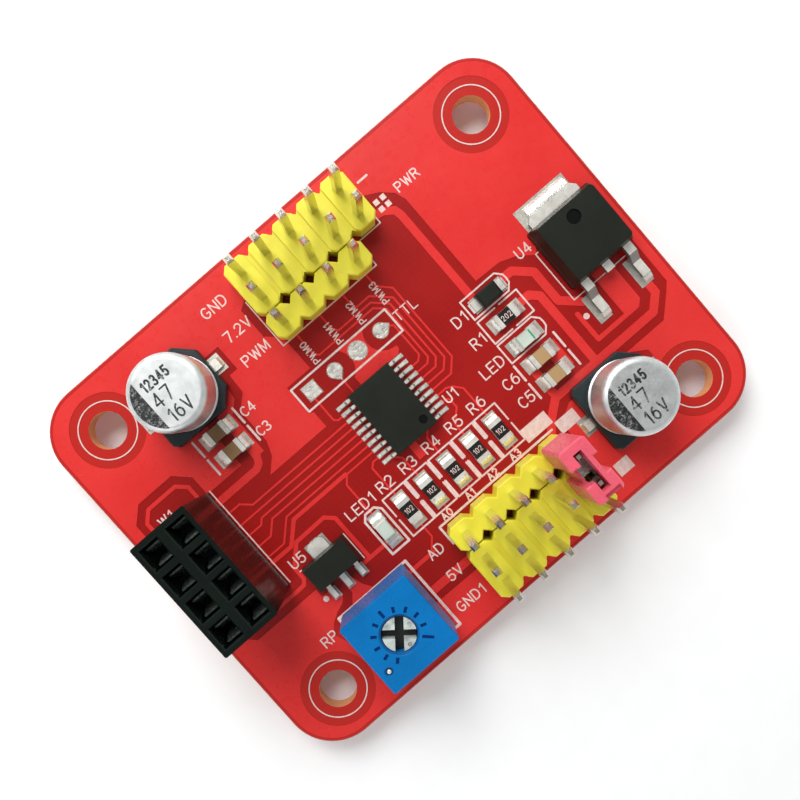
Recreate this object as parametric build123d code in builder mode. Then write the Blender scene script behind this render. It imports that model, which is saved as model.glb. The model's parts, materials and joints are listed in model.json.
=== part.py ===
from build123d import *
import os

os.makedirs("parts", exist_ok=True)

# ---------------------------------------------------------------------------
# Driving dimensions, in millimetres. The origin is the centre of the mounting
# hole pattern on the board's underside; +X runs along the board, +Z upwards.
# ---------------------------------------------------------------------------

# Board
board_length = 49.5
board_width = 37.7
board_centre = (-0.07, 0.16)
board_thickness = 1.6
corner_radius = 4.3
edge_break = 0.1
hole_spacing_x = 40.0
hole_spacing_y = 29.0
mount_hole_diameter = 3.2
foil = 0.05
barrel_wall = 0.05
ring_width = 0.3
seat = board_thickness + foil
tail_z = -1.4

# Square-pin headers
pin_pitch = 2.54
pin_width = 0.64
pin_length = 11.55
tip_length = 0.35
tip_taper = 24
header_height = 2.5
strip_gap = 0.1
notch_side = 0.85
groove_width = 0.5
groove_depth = 0.3
header_drill = 0.55
servo_first_x = -2.97
servo_signal_y = 11.48
servo_supply_y = servo_signal_y + pin_pitch
sensor_first_x = -3.17
sensor_signal_y = -11.28
sensor_ground_y = sensor_signal_y - 2 * pin_pitch
servo_channels = 4
power_columns = 5

# Jumper cap on the fifth column of the sensor header
jumper_width = 2.45
jumper_length = 5.0
jumper_height = 6.5
jumper_lift = 0.1
jumper_waist_depth = 0.45
jumper_waist_length = 1.55
jumper_window_depth = 0.9
jumper_window_height = 2.0
jumper_slot_width = 0.76
jumper_slot_length = 3.5
jumper_roof = 0.9
clip_half_width = 0.56
clip_sheet = 0.18
clip_length = 4.0
clip_drop = 2.0

# Radio socket
socket_x = -19.75
socket_y = -0.03
socket_width = 5.08
socket_length = 10.56
socket_height = 8.9
socket_floor = 0.9
cell_width = 1.7
cell_length = 1.95
socket_drill = 0.5
leaf_width = 1.3
leaf_sheet = 0.15
contact_tail_width = 0.5
contact_tail_depth = 0.3

# Electrolytic capacitors
input_capacitor = (-13.3, 12.7)
output_capacitor = (14.25, -11.57)
can_radius = 3.15
can_wall = 0.2
can_top = 5.7
can_foot = 0.45
can_shoulder = 0.55
crimp_depth = 0.3
base_side = 6.6
base_height = 1.15
base_chamfer = 1.4
base_corner = 0.4
lead_reach = 4.0
lead_strip_width = 0.9
lead_strip = 0.3

# Trimmer
trimmer_x = -12.3
trimmer_y = -13.36
trimmer_side = 6.8
trimmer_height = 4.9
trimmer_foot = 0.4
trimmer_wall = 0.5
trimmer_roof = 1.2
rotor_radius = 1.4
rotor_gap = 0.07
rotor_sink = 0.25
flange_radius = 2.2
slot_width = 0.72
slot_depth = 0.9
slot_turn = 6
trimmer_drill = 0.45
trimmer_pin_radius = 0.25
trimmer_pin_places = [
    (trimmer_x - pin_pitch, trimmer_y - 1.7),
    (trimmer_x, trimmer_y - 1.7 + pin_pitch),
    (trimmer_x + pin_pitch, trimmer_y - 1.7),
]
scale_step = 27
scale_first = -45
scale_count = 11
scale_start = 1.8
scale_width = 0.26

# Microcontroller, a 20-lead thin shrink outline
chip_x = -1.0
chip_y = 0.32
chip_width = 4.4
chip_length = 6.5
chip_thickness = 1.0
chip_standoff = 0.1
chip_pitch = 0.65
chip_leads_per_side = 10
chip_lead_width = 0.24
chip_lead_sheet = 0.15
chip_span = 6.4
chip_dimple_radius = 0.38
chip_dimple_depth = 0.1

# Main regulator, a tab package
regulator_x = 20.2
regulator_y = 0.94
regulator_pad_x = 19.91
regulator_width = 6.5
regulator_length = 6.05
regulator_thickness = 2.3
regulator_draft = 0.32
regulator_tab_width = 5.2
regulator_tab_sheet = 0.5
regulator_tab_end = 4.9
regulator_dimple_radius = 0.62
regulator_dimple_depth = 0.2
regulator_lead_pitch = 2.29
regulator_lead_width = 0.8
regulator_lead_sheet = 0.5
regulator_foot_end = -5.1

# Small regulator, a low tab package
small_x = -13.3
small_y = -6.05
small_width = 4.5
small_length = 2.5
small_thickness = 1.5
small_pitch = 1.5
small_tab_width = 1.7
small_tab_end = -3.6
small_foot_end = -8.52
small_sheet = 0.4

# Chip resistors and capacitors, 2.0 x 1.25 outline
part_length = 2.0
part_width = 1.25
resistor_height = 0.5
capacitor_height = 0.95
cap_length = 0.42
cap_wall = 0.04
film_thickness = 0.04
land_length = 1.15
land_width = 1.3
land_centre = 1.12
row_x = [-5.5, -3.0, -0.42, 2.13, 4.63]
row_y = -6.92
column_x = 11.25
single_resistor_y = -0.05
resistor_places = [Location((x, row_y, seat), (0, 0, 90)) for x in row_x]
resistor_places.append(Location((column_x, single_resistor_y, seat)))
capacitor_places = [
    Location((x, y, seat)) for x, y in ((-13.25, 8.33), (-13.25, 6.41), (column_x, -4.48), (column_x, -6.44))
]

# Diode and lights
diode_place = Location((column_x, 2.28, seat))
power_light_place = Location((column_x, -2.52, seat))
status_light_place = Location((-8.1, -6.88, seat), (0, 0, -90))
light_base_height = 0.35
lens_height = 0.45

# Serial port pads, beside the microcontroller
serial_first_x = -5.08
serial_y = 5.91
serial_drill = 0.5
serial_ring_width = 0.1
serial_ring = 0.72
serial_wide_ring = 0.88
drop_offset = serial_ring * 0.707

low = (Align.CENTER, Align.CENTER, Align.MIN)


def save(piece, name):
    """Label a finished piece and write it to its own file."""
    piece.part.label = name
    export_step(piece.part, f"parts/{name}.step")


def pin_row(first_x, y, count):
    """Centres of one row of pins at the standard pitch."""
    return [(first_x + pin_pitch * i, y) for i in range(count)]


servo_signal_places = pin_row(servo_first_x, servo_signal_y, servo_channels)
servo_power_places = [
    place
    for row in range(2)
    for place in pin_row(servo_first_x, servo_supply_y + row * pin_pitch, power_columns)
]
sensor_signal_places = pin_row(sensor_first_x, sensor_signal_y, power_columns)
sensor_power_places = [
    place
    for row in range(2)
    for place in pin_row(sensor_first_x, sensor_ground_y + row * pin_pitch, power_columns)
]
header_places = servo_signal_places + servo_power_places + sensor_signal_places + sensor_power_places
socket_places = [
    (socket_x + (column - 0.5) * pin_pitch, socket_y + (row - 1.5) * pin_pitch)
    for column in range(2)
    for row in range(4)
]
serial_places = pin_row(serial_first_x, serial_y, 4)


# ---------------------------------------------------------------------------
# Board, its plated holes and its lands
# ---------------------------------------------------------------------------

drilled_holes = [
    (header_places, header_drill, ring_width),
    (socket_places, socket_drill, ring_width),
    (trimmer_pin_places, trimmer_drill, ring_width),
    (serial_places, serial_drill, serial_ring_width),
]

with BuildPart() as circuit_board:
    with BuildSketch():
        with Locations(board_centre):
            RectangleRounded(board_length, board_width, corner_radius)
        with GridLocations(hole_spacing_x, hole_spacing_y, 2, 2):
            Circle(mount_hole_diameter / 2, mode=Mode.SUBTRACT)
    extrude(amount=board_thickness)
    rims = circuit_board.faces().filter_by(Axis.Z)
    chamfer([edge for rim in rims for edge in rim.outer_wire().edges()], edge_break)
    with BuildSketch():
        for places, drill, width in drilled_holes:
            with Locations(*places):
                Circle(drill)
    extrude(amount=board_thickness, mode=Mode.SUBTRACT)
save(circuit_board, "circuit_board")

# Each barrel is a thin tube with a flat ring on either face of the board.
with BuildPart() as plated_holes:
    for places, drill, width in drilled_holes:
        with BuildSketch(Plane.XY.offset(-foil)):
            with Locations(*places):
                Circle(drill)
                Circle(drill - barrel_wall, mode=Mode.SUBTRACT)
        extrude(amount=board_thickness + 2 * foil)
        for level in (-foil, board_thickness):
            with BuildSketch(Plane.XY.offset(level)):
                with Locations(*places):
                    Circle(drill + width)
                    Circle(drill - barrel_wall, mode=Mode.SUBTRACT)
            extrude(amount=foil)
save(plated_holes, "plated_holes")


def land_pair(place):
    """Two lands under the ends of a chip part standing at a location."""
    return [place * Location((side * land_centre, 0, -foil)) for side in (-1, 1)]


two_ended = resistor_places + capacitor_places + [diode_place, power_light_place, status_light_place]
chip_lead_ys = [chip_y + chip_pitch * (i - (chip_leads_per_side - 1) / 2) for i in range(chip_leads_per_side)]
capacitor_lands = [
    (x + side * 3.0, y) for x, y in (input_capacitor, output_capacitor) for side in (-1, 1)
]

with BuildPart() as surface_pads:
    with Locations(*[land for place in two_ended for land in land_pair(place)]):
        Box(land_length, land_width, foil, align=low)
    with BuildSketch(Plane.XY.offset(board_thickness)):
        with Locations(*[(chip_x + side * 2.95, y) for side in (-1, 1) for y in chip_lead_ys]):
            Rectangle(1.3, 0.38)
        with Locations(*capacitor_lands):
            Rectangle(2.6, 1.6)
        with Locations((regulator_pad_x, 2.62)):
            Rectangle(5.3, 6.8)
        with Locations(*[(regulator_pad_x + side * regulator_lead_pitch, -4.5) for side in (-1, 1)]):
            Rectangle(1.28, 2.7)
        with Locations(*[(small_x + side * small_pitch, small_foot_end + 0.35) for side in (-1, 1)]):
            Rectangle(0.75, 1.1)
        with Locations((small_x, small_y - 0.1)):
            Rectangle(0.75, 5.2)
        with Locations((small_x, small_y + 1.5)):
            Rectangle(2.0, 1.9)
    extrude(amount=foil)
save(surface_pads, "surface_pads")

with BuildPart() as serial_pads:
    with Locations(*[(x, y, -foil) for x, y in serial_places]):
        Cylinder(serial_drill - barrel_wall, board_thickness + 2 * foil, align=low)
    # A square first pad, two drop-shaped ones and a wide round one.
    drop_places = [
        (serial_places[1][0], serial_y - drop_offset),
        (serial_places[3][0] + drop_offset, serial_y),
    ]
    for level, rise in ((seat, 0.12), (-foil, -0.12)):
        with BuildSketch(Plane.XY.offset(level)):
            with Locations(serial_places[0]):
                Rectangle(2 * serial_ring, 2 * serial_ring)
            with Locations(serial_places[1], serial_places[3]):
                Circle(serial_ring)
            with Locations(serial_places[2]):
                Circle(serial_wide_ring)
            with Locations(*drop_places):
                Rectangle(serial_ring, serial_ring, rotation=45)
        extrude(amount=rise, taper=35)
save(serial_pads, "serial_pads")


def make_pin_solder(drill, section, height):
    """Solder in one plated hole, with a concave fillet below the board, around a pin of a given section."""
    inner = drill - barrel_wall
    outer = drill + ring_width - 0.05
    neck = max(section) * 0.62
    with BuildPart() as solder:
        with BuildSketch(Plane.XZ):
            with BuildLine():
                Polyline((0, seat), (inner, seat), (inner, -foil), (outer, -foil))
                ThreePointArc((outer, -foil), (neck + 0.12, -foil - 0.35), (neck, -foil - height))
                Polyline((neck, -foil - height), (0, -foil - height), (0, seat))
            make_face()
        revolve(axis=Axis.Z)
        with Locations((0, 0, tail_z - 1)):
            Box(section[0], section[1], 6, align=low, mode=Mode.SUBTRACT)
    return solder.part


header_solder = make_pin_solder(header_drill, (pin_width, pin_width), 0.9)
socket_solder = make_pin_solder(socket_drill, (contact_tail_width, contact_tail_depth), 0.8)
trimmer_blank = make_pin_solder(trimmer_drill, (2 * trimmer_pin_radius, 0.2), 0.8)
with BuildPart() as trimmer_solder:
    add(trimmer_blank)
    with Locations((0, 0, tail_z - 1)):
        Cylinder(trimmer_pin_radius, 6, align=low, mode=Mode.SUBTRACT)

with BuildPart() as pin_solder_joints:
    with Locations(*header_places):
        add(header_solder)
    with Locations(*socket_places):
        add(socket_solder)
    with Locations(*trimmer_pin_places):
        add(trimmer_solder.part)
save(pin_solder_joints, "pin_solder_joints")


# ---------------------------------------------------------------------------
# Yellow pin headers
# ---------------------------------------------------------------------------

def make_header_housing(name, columns, rows, first_x, first_y, grooved):
    """Plastic strip of square cells with notched sides, one hole for each pin."""
    centre_x = first_x + (columns - 1) * pin_pitch / 2
    centre_y = first_y + (rows - 1) * pin_pitch / 2
    with BuildPart() as housing:
        with BuildSketch(Plane.XY.offset(seat)):
            with Locations((centre_x, centre_y)):
                Rectangle(columns * pin_pitch - strip_gap, rows * pin_pitch - strip_gap)
                with GridLocations(pin_pitch, rows * pin_pitch, columns + 1, 2):
                    Rectangle(notch_side, notch_side, rotation=45, mode=Mode.SUBTRACT)
                with GridLocations(pin_pitch, pin_pitch, columns, rows):
                    Rectangle(pin_width, pin_width, mode=Mode.SUBTRACT)
        extrude(amount=header_height)
        top_face = housing.faces().sort_by(Axis.Z)[-1]
        chamfer(top_face.outer_wire().edges(), edge_break)
        if grooved:
            groove = Plane((centre_x, centre_y, seat + header_height), x_dir=(1, 0, 0), z_dir=(0, -1, 0))
            with BuildSketch(groove):
                with GridLocations(pin_pitch, 1, columns - 1, 1):
                    Rectangle(groove_width, 2 * groove_depth)
            extrude(amount=rows * pin_pitch / 2, both=True, mode=Mode.SUBTRACT)
    save(housing, name)


def make_header_pins(name, places):
    """Square pins with tapered ends, standing through the board."""
    with BuildPart() as pins:
        with BuildSketch(Plane.XY.offset(tail_z + tip_length)):
            with Locations(*places):
                Rectangle(pin_width, pin_width)
        extrude(amount=pin_length - 2 * tip_length)
        shaft_top = tail_z + pin_length - tip_length
        for level, rise in ((tail_z + tip_length, -tip_length), (shaft_top, tip_length)):
            with BuildSketch(Plane.XY.offset(level)):
                with Locations(*places):
                    Rectangle(pin_width, pin_width)
            extrude(amount=rise, taper=tip_taper)
    save(pins, name)


make_header_housing(
    "servo_signal_housing", servo_channels, 1, servo_first_x, servo_signal_y, False
)
make_header_housing(
    "servo_power_housing", power_columns, 2, servo_first_x, servo_supply_y, True
)
make_header_housing(
    "sensor_signal_housing", power_columns, 1, sensor_first_x, sensor_signal_y, False
)
make_header_housing(
    "sensor_power_housing", power_columns, 2, sensor_first_x, sensor_ground_y, True
)
make_header_pins("servo_signal_pins", servo_signal_places)
make_header_pins("servo_power_pins", servo_power_places)
make_header_pins("sensor_signal_pins", sensor_signal_places)
make_header_pins("sensor_power_pins", sensor_power_places)


# ---------------------------------------------------------------------------
# Jumper cap: plastic housing with a sheet-metal clip that bridges two pins
# ---------------------------------------------------------------------------

jumper_x = sensor_first_x + (power_columns - 1) * pin_pitch
jumper_y = sensor_signal_y - pin_pitch / 2
jumper_base = seat + header_height + jumper_lift
jumper_top = jumper_base + jumper_height
clip_base = jumper_base + 0.5
clip_top = jumper_top - jumper_roof - clip_drop
jumper_floor_plane = Plane((jumper_x, jumper_y, jumper_base))

with BuildPart() as jumper_housing:
    with BuildSketch(jumper_floor_plane):
        Rectangle(jumper_width, jumper_length)
        with GridLocations(jumper_width, jumper_length, 2, 2):
            Rectangle(0.3, 0.3, rotation=45, mode=Mode.SUBTRACT)
        with GridLocations(jumper_width, 1, 2, 1):
            Rectangle(2 * jumper_waist_depth, jumper_waist_length, mode=Mode.SUBTRACT)
    extrude(amount=jumper_height)
    chamfer(jumper_housing.faces().sort_by(Axis.Z)[-1].outer_wire().edges(), edge_break)
    with BuildSketch(jumper_floor_plane):
        Rectangle(2 * clip_half_width, clip_length)
    extrude(amount=jumper_height - jumper_roof, mode=Mode.SUBTRACT)
    with BuildSketch(jumper_floor_plane.offset(jumper_height - jumper_roof)):
        Rectangle(jumper_slot_width, jumper_slot_length)
    extrude(amount=jumper_roof, mode=Mode.SUBTRACT)
    # On one side the waist opens into the slot near the top.
    with BuildSketch(jumper_floor_plane.offset(jumper_height)):
        with Locations((-jumper_width / 2, 0)):
            Rectangle(2 * jumper_window_depth, jumper_waist_length)
    extrude(amount=-jumper_window_height, mode=Mode.SUBTRACT)
    # A low step at the outer end, where the moulding gate was.
    with BuildSketch(jumper_floor_plane.offset(jumper_height)):
        with Locations((0.25, -jumper_length / 2)):
            Rectangle(1.4, 0.9)
    extrude(amount=-0.5, mode=Mode.SUBTRACT)
save(jumper_housing, "jumper_housing")

with BuildPart() as jumper_clip:
    with BuildSketch(Plane((jumper_x, jumper_y, clip_base))):
        with GridLocations(2 * clip_half_width - clip_sheet, 1, 2, 1):
            Rectangle(clip_sheet, clip_length)
    extrude(amount=clip_top - clip_base)
    with BuildSketch(Plane((jumper_x, jumper_y, clip_top - clip_sheet))):
        Rectangle(2 * clip_half_width, 1.3)
    extrude(amount=clip_sheet)
save(jumper_clip, "jumper_clip")


# ---------------------------------------------------------------------------
# Radio socket: female header with forked contacts
# ---------------------------------------------------------------------------

socket_floor_z = seat + socket_floor

with BuildPart() as radio_socket_housing:
    with BuildSketch(Plane((socket_x, socket_y, seat))):
        Rectangle(socket_width, socket_length)
    extrude(amount=socket_height)
    chamfer(radio_socket_housing.edges().filter_by(Axis.Z), edge_break)
    with BuildSketch(Plane.XY.offset(socket_floor_z)):
        with Locations(*socket_places):
            Rectangle(cell_width, cell_length)
    extrude(amount=socket_height - socket_floor, mode=Mode.SUBTRACT)
    mouth_edges = radio_socket_housing.faces().sort_by(Axis.Z)[-1].inner_wires()
    chamfer([edge for wire in mouth_edges for edge in wire.edges()], edge_break)
    with BuildSketch(Plane.XY.offset(seat)):
        with Locations(*socket_places):
            Rectangle(contact_tail_width, contact_tail_depth)
    extrude(amount=socket_floor, mode=Mode.SUBTRACT)
save(radio_socket_housing, "radio_socket_housing")

root_offset = 0.72
pinch_offset = 0.24
flare_offset = 0.72
leaf_top = socket_height - socket_floor - 1.0

with BuildPart() as one_contact:
    with BuildSketch(Plane.YZ):
        with BuildLine():
            for side in (-1, 1):
                Polyline(
                    (0, leaf_sheet / 2),
                    (side * root_offset, leaf_sheet / 2),
                    (side * root_offset, 1.2),
                    (side * pinch_offset, leaf_top - 2.0),
                    (side * flare_offset, leaf_top),
                )
        trace(line_width=leaf_sheet)
    extrude(amount=leaf_width / 2, both=True)
    with BuildSketch(Plane.XY):
        Rectangle(contact_tail_width, contact_tail_depth)
    extrude(amount=tail_z - socket_floor_z)

with BuildPart() as radio_socket_contacts:
    with Locations(*[(x, y, socket_floor_z) for x, y in socket_places]):
        add(one_contact.part)
save(radio_socket_contacts, "radio_socket_contacts")


# ---------------------------------------------------------------------------
# Electrolytic capacitors
# ---------------------------------------------------------------------------

inner_radius = can_radius - can_wall
seal_top = seat + 2.1
crimp_z = seat + 1.75


def make_capacitor(name, x, y):
    """Base plate, can, rubber seal, wound element and two strip leads of one capacitor."""
    lead_wire_x = 1.3
    lead_wire_radius = 0.3

    with BuildPart() as leads:
        for side in (-1, 1):
            with BuildSketch(Plane((x, y, seat))):
                with Locations((side * (lead_reach + 1.0) / 2, 0)):
                    Rectangle(lead_reach - 1.0, lead_strip_width)
            extrude(amount=lead_strip)
            with Locations((x + side * lead_wire_x, y, seat)):
                Cylinder(lead_wire_radius, seal_top - seat + 0.1, align=low)
    save(leads, f"{name}_leads")

    with BuildPart() as base:
        with BuildSketch(Plane((x, y, seat))):
            Rectangle(base_side, base_side)
            chamfer(vertices().group_by(Axis.X)[-1], base_chamfer)
            chamfer(vertices().group_by(Axis.X)[0], base_corner)
        extrude(amount=base_height)
        chamfer(base.faces().sort_by(Axis.Z)[-1].edges(), edge_break)
        with BuildSketch(Plane((x, y, seat + can_foot))):
            Circle(can_radius + 0.05)
        extrude(amount=base_height, mode=Mode.SUBTRACT)
        add(leads.part, mode=Mode.SUBTRACT)
    save(base, f"{name}_base")

    foot = seat + can_foot + 0.02
    top = board_thickness + can_top
    with BuildPart() as can:
        with BuildSketch(Plane((x, y, 0), x_dir=(1, 0, 0), z_dir=(0, -1, 0))):
            with BuildLine():
                Polyline((inner_radius, foot), (can_radius, foot), (can_radius, crimp_z - 0.4))
                ThreePointArc(
                    (can_radius, crimp_z - 0.4),
                    (can_radius - crimp_depth, crimp_z),
                    (can_radius, crimp_z + 0.4),
                )
                Line((can_radius, crimp_z + 0.4), (can_radius, top - can_shoulder))
                RadiusArc((can_radius, top - can_shoulder), (can_radius - can_shoulder, top), -can_shoulder)
                Polyline(
                    (can_radius - can_shoulder, top),
                    (0, top),
                    (0, top - can_wall),
                    (inner_radius - can_shoulder, top - can_wall),
                    (inner_radius, top - can_wall - can_shoulder),
                    (inner_radius, crimp_z + 0.4),
                )
                ThreePointArc(
                    (inner_radius, crimp_z + 0.4),
                    (inner_radius - crimp_depth, crimp_z),
                    (inner_radius, crimp_z - 0.4),
                )
                Line((inner_radius, crimp_z - 0.4), (inner_radius, foot))
            make_face()
        revolve(axis=Axis((x, y, 0), (0, 0, 1)))
    save(can, f"{name}_can")

    with BuildPart() as seal:
        with Locations((x, y, foot)):
            Cylinder(inner_radius - 0.02, crimp_z - 0.42 - foot, align=low)
        with Locations((x, y, crimp_z - 0.42)):
            Cylinder(inner_radius - crimp_depth - 0.02, seal_top - crimp_z + 0.42, align=low)
        add(leads.part, mode=Mode.SUBTRACT)
    save(seal, f"{name}_seal")

    winding_base = seal_top + 0.15
    with BuildPart() as winding:
        with Locations((x, y, winding_base)):
            Cylinder(inner_radius - 0.35, top - can_wall - 0.35 - winding_base, align=low)
            Cylinder(0.5, top - can_wall - 0.35 - winding_base, align=low, mode=Mode.SUBTRACT)
    save(winding, f"{name}_winding")


make_capacitor("input_capacitor", *input_capacitor)
make_capacitor("output_capacitor", *output_capacitor)


# ---------------------------------------------------------------------------
# Trimmer: housing, turning rotor with its wiper, track plate, seals and pins
# ---------------------------------------------------------------------------

trimmer_top = board_thickness + trimmer_height
roof_z = trimmer_top - trimmer_roof
cavity_side = trimmer_side - 2 * trimmer_wall
plate_z = board_thickness + 1.0
plate_top = plate_z + 0.8
stud_x, stud_y = trimmer_pin_places[0]
trimmer_top_plane = Plane((trimmer_x, trimmer_y, trimmer_top))

with BuildPart() as trimmer_pins:
    with Locations(*[(x, y, tail_z) for x, y in trimmer_pin_places]):
        Cylinder(trimmer_pin_radius, plate_top - 0.1 - tail_z, align=low)
    with Locations((stud_x, stud_y, tail_z)):
        Cylinder(trimmer_pin_radius, trimmer_top - 0.05 - tail_z, align=low)
    stud_rim = trimmer_pins.edges().filter_by(GeomType.CIRCLE).sort_by(Axis.Z)[-1]
    fillet(stud_rim, 0.2)
save(trimmer_pins, "trimmer_pins")

with BuildPart() as trimmer_housing:
    with BuildSketch(Plane((trimmer_x, trimmer_y, board_thickness + trimmer_foot))):
        Rectangle(trimmer_side, trimmer_side)
    extrude(amount=trimmer_height - trimmer_foot)
    chamfer(trimmer_housing.edges().filter_by(Axis.Z), 0.15)
    chamfer(trimmer_housing.faces().sort_by(Axis.Z)[-1].edges(), edge_break)
    with BuildSketch(Plane((trimmer_x, trimmer_y, board_thickness))):
        with GridLocations(trimmer_side - 1.2, trimmer_side - 1.2, 2, 2):
            Rectangle(0.8, 0.8)
    extrude(amount=trimmer_foot)
    with BuildSketch(Plane((trimmer_x, trimmer_y, board_thickness + trimmer_foot))):
        Rectangle(cavity_side, cavity_side)
    extrude(amount=roof_z - board_thickness - trimmer_foot, mode=Mode.SUBTRACT)
    with Locations((trimmer_x, trimmer_y, roof_z)):
        Cylinder(rotor_radius + rotor_gap, trimmer_roof, align=low, mode=Mode.SUBTRACT)
    rim = trimmer_housing.edges().filter_by(GeomType.CIRCLE).group_by(Axis.Z)[-1]
    chamfer(rim, 0.22)
    # Engraved scale: evenly spaced strokes, the first one longer.
    for stroke in range(scale_count):
        reach = 0.95 if stroke == 0 else (0.7 if stroke == 5 else 0.5)
        with BuildSketch(trimmer_top_plane.rotated((0, 0, scale_first + scale_step * stroke))):
            with Locations((scale_start, 0)):
                Rectangle(reach, scale_width, align=(Align.MIN, Align.CENTER))
        extrude(amount=-0.12, mode=Mode.SUBTRACT)
    with Locations((stud_x, stud_y, trimmer_top)):
        Cone(0.28, 0.42, 0.16, align=(Align.CENTER, Align.CENTER, Align.MAX), mode=Mode.SUBTRACT)
    add(trimmer_pins.part, mode=Mode.SUBTRACT)
save(trimmer_housing, "trimmer_housing")

flange_top = roof_z - 0.3
with BuildPart() as trimmer_rotor:
    with Locations((trimmer_x, trimmer_y, flange_top - 0.4)):
        Cylinder(flange_radius, 0.4, align=low)
        Cylinder(rotor_radius, trimmer_top - rotor_sink - flange_top + 0.4, align=low)
    with Locations((trimmer_x, trimmer_y, flange_top - 0.8)):
        Cylinder(1.1, 0.4, align=low)
    head_plane = Plane((trimmer_x, trimmer_y, trimmer_top - rotor_sink))
    with BuildSketch(head_plane.rotated((0, 0, 45 + slot_turn))):
        Rectangle(2 * rotor_radius, slot_width)
        Rectangle(slot_width, 2 * rotor_radius)
    extrude(amount=-slot_depth, mode=Mode.SUBTRACT)
    # Two small dents beside the rim show which way the wiper points.
    with Locations(head_plane.rotated((0, 0, slot_turn))):
        with Locations((rotor_radius - 0.25, 0), (0, -rotor_radius + 0.25)):
            Cylinder(0.16, 0.2, mode=Mode.SUBTRACT)
save(trimmer_rotor, "trimmer_rotor")

wiper_z = flange_top - 0.8
with BuildPart() as trimmer_wiper:
    with Locations((trimmer_x, trimmer_y, wiper_z)):
        Cylinder(1.1, 0.12, align=(Align.CENTER, Align.CENTER, Align.MAX))
    with BuildSketch(Plane((trimmer_x, trimmer_y, 0), x_dir=(1, 0, 0), z_dir=(0, -1, 0))):
        Polygon(
            (-0.8, wiper_z),
            (-2.15, plate_top + 0.18),
            (-2.15, plate_top + 0.06),
            (-0.8, wiper_z - 0.12),
            align=None,
        )
        Polygon(
            (0.0, wiper_z - 0.12),
            (0.9, wiper_z - 0.12),
            (0.3, plate_top + 0.06),
            (0.15, plate_top + 0.06),
            align=None,
        )
    extrude(amount=0.25, both=True)
save(trimmer_wiper, "trimmer_wiper")

with BuildPart() as trimmer_track:
    with Locations((trimmer_x, trimmer_y, plate_z)):
        Box(cavity_side - 0.1, cavity_side - 0.1, plate_top - plate_z, align=low)
    add(trimmer_pins.part, mode=Mode.SUBTRACT)
save(trimmer_track, "trimmer_track")

with BuildPart() as trimmer_sealant:
    with Locations((trimmer_x, trimmer_y, board_thickness + trimmer_foot)):
        Box(cavity_side, cavity_side, plate_z - board_thickness - trimmer_foot, align=low)
    add(trimmer_pins.part, mode=Mode.SUBTRACT)
save(trimmer_sealant, "trimmer_sealant")

with BuildPart() as trimmer_ring:
    with Locations((trimmer_x, trimmer_y, roof_z - 0.15)):
        Torus(1.9, 0.13)
save(trimmer_ring, "trimmer_ring")


# ---------------------------------------------------------------------------
# Microcontroller
# ---------------------------------------------------------------------------

chip_base = seat + chip_standoff
chip_middle = chip_base + chip_thickness / 2
lead_half = chip_lead_sheet / 2

with BuildPart() as one_chip_lead:
    # Gull-wing strip: root inside the body, knee, foot flat on its land.
    with BuildSketch(Plane.XZ):
        with BuildLine():
            Polyline(
                (chip_width / 2 - 0.5, chip_middle),
                (chip_width / 2 + 0.3, chip_middle),
                (chip_width / 2 + 0.48, seat + lead_half),
                (chip_span / 2, seat + lead_half),
            )
        trace(line_width=chip_lead_sheet)
    extrude(amount=chip_lead_width / 2, both=True)

with BuildPart() as microcontroller_leads:
    with Locations(*[Location((chip_x, y, 0)) for y in chip_lead_ys]):
        add(one_chip_lead.part)
    with Locations(*[Location((chip_x, y, 0), (0, 0, 180)) for y in chip_lead_ys]):
        add(one_chip_lead.part)
save(microcontroller_leads, "microcontroller_leads")

with BuildPart() as microcontroller_paddle:
    with Locations((chip_x, chip_y, chip_middle - lead_half)):
        Box(2.8, 4.0, chip_lead_sheet, align=low)
save(microcontroller_paddle, "microcontroller_paddle")

with BuildPart() as microcontroller_die:
    with Locations((chip_x, chip_y, chip_middle + lead_half)):
        Box(2.0, 2.4, 0.22, align=low)
save(microcontroller_die, "microcontroller_die")

with BuildPart() as microcontroller_body:
    for rise in (chip_thickness / 2, -chip_thickness / 2):
        with BuildSketch(Plane((chip_x, chip_y, chip_middle))):
            Rectangle(chip_width, chip_length)
        extrude(amount=rise, taper=10)
    dimple_x = chip_x + chip_width / 2 - 0.84
    dimple_y = chip_y - chip_length / 2 + 0.98
    with Locations((dimple_x, dimple_y, chip_base + chip_thickness)):
        Cylinder(chip_dimple_radius, 2 * chip_dimple_depth, mode=Mode.SUBTRACT)
    add(microcontroller_leads.part, mode=Mode.SUBTRACT)
    add(microcontroller_paddle.part, mode=Mode.SUBTRACT)
    add(microcontroller_die.part, mode=Mode.SUBTRACT)
save(microcontroller_body, "microcontroller_body")


# ---------------------------------------------------------------------------
# Main regulator
# ---------------------------------------------------------------------------

regulator_lead_z = seat + 1.0
regulator_low_y = regulator_y - regulator_length / 2
regulator_high_y = regulator_y + regulator_length / 2

with BuildPart() as main_regulator_leads:
    with BuildSketch(Plane.YZ):
        with BuildLine():
            Polyline(
                (regulator_low_y + 0.8, regulator_lead_z),
                (regulator_low_y - 0.75, regulator_lead_z),
                (regulator_low_y - 1.55, seat + regulator_lead_sheet / 2),
                (regulator_foot_end, seat + regulator_lead_sheet / 2),
            )
        trace(line_width=regulator_lead_sheet)
    extrude(amount=regulator_lead_width / 2, both=True)
    one_regulator_lead = main_regulator_leads.part

with BuildPart() as main_regulator_leads:
    with Locations(*[(regulator_x + side * regulator_lead_pitch, 0, 0) for side in (-1, 1)]):
        add(one_regulator_lead)
save(main_regulator_leads, "main_regulator_leads")

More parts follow.
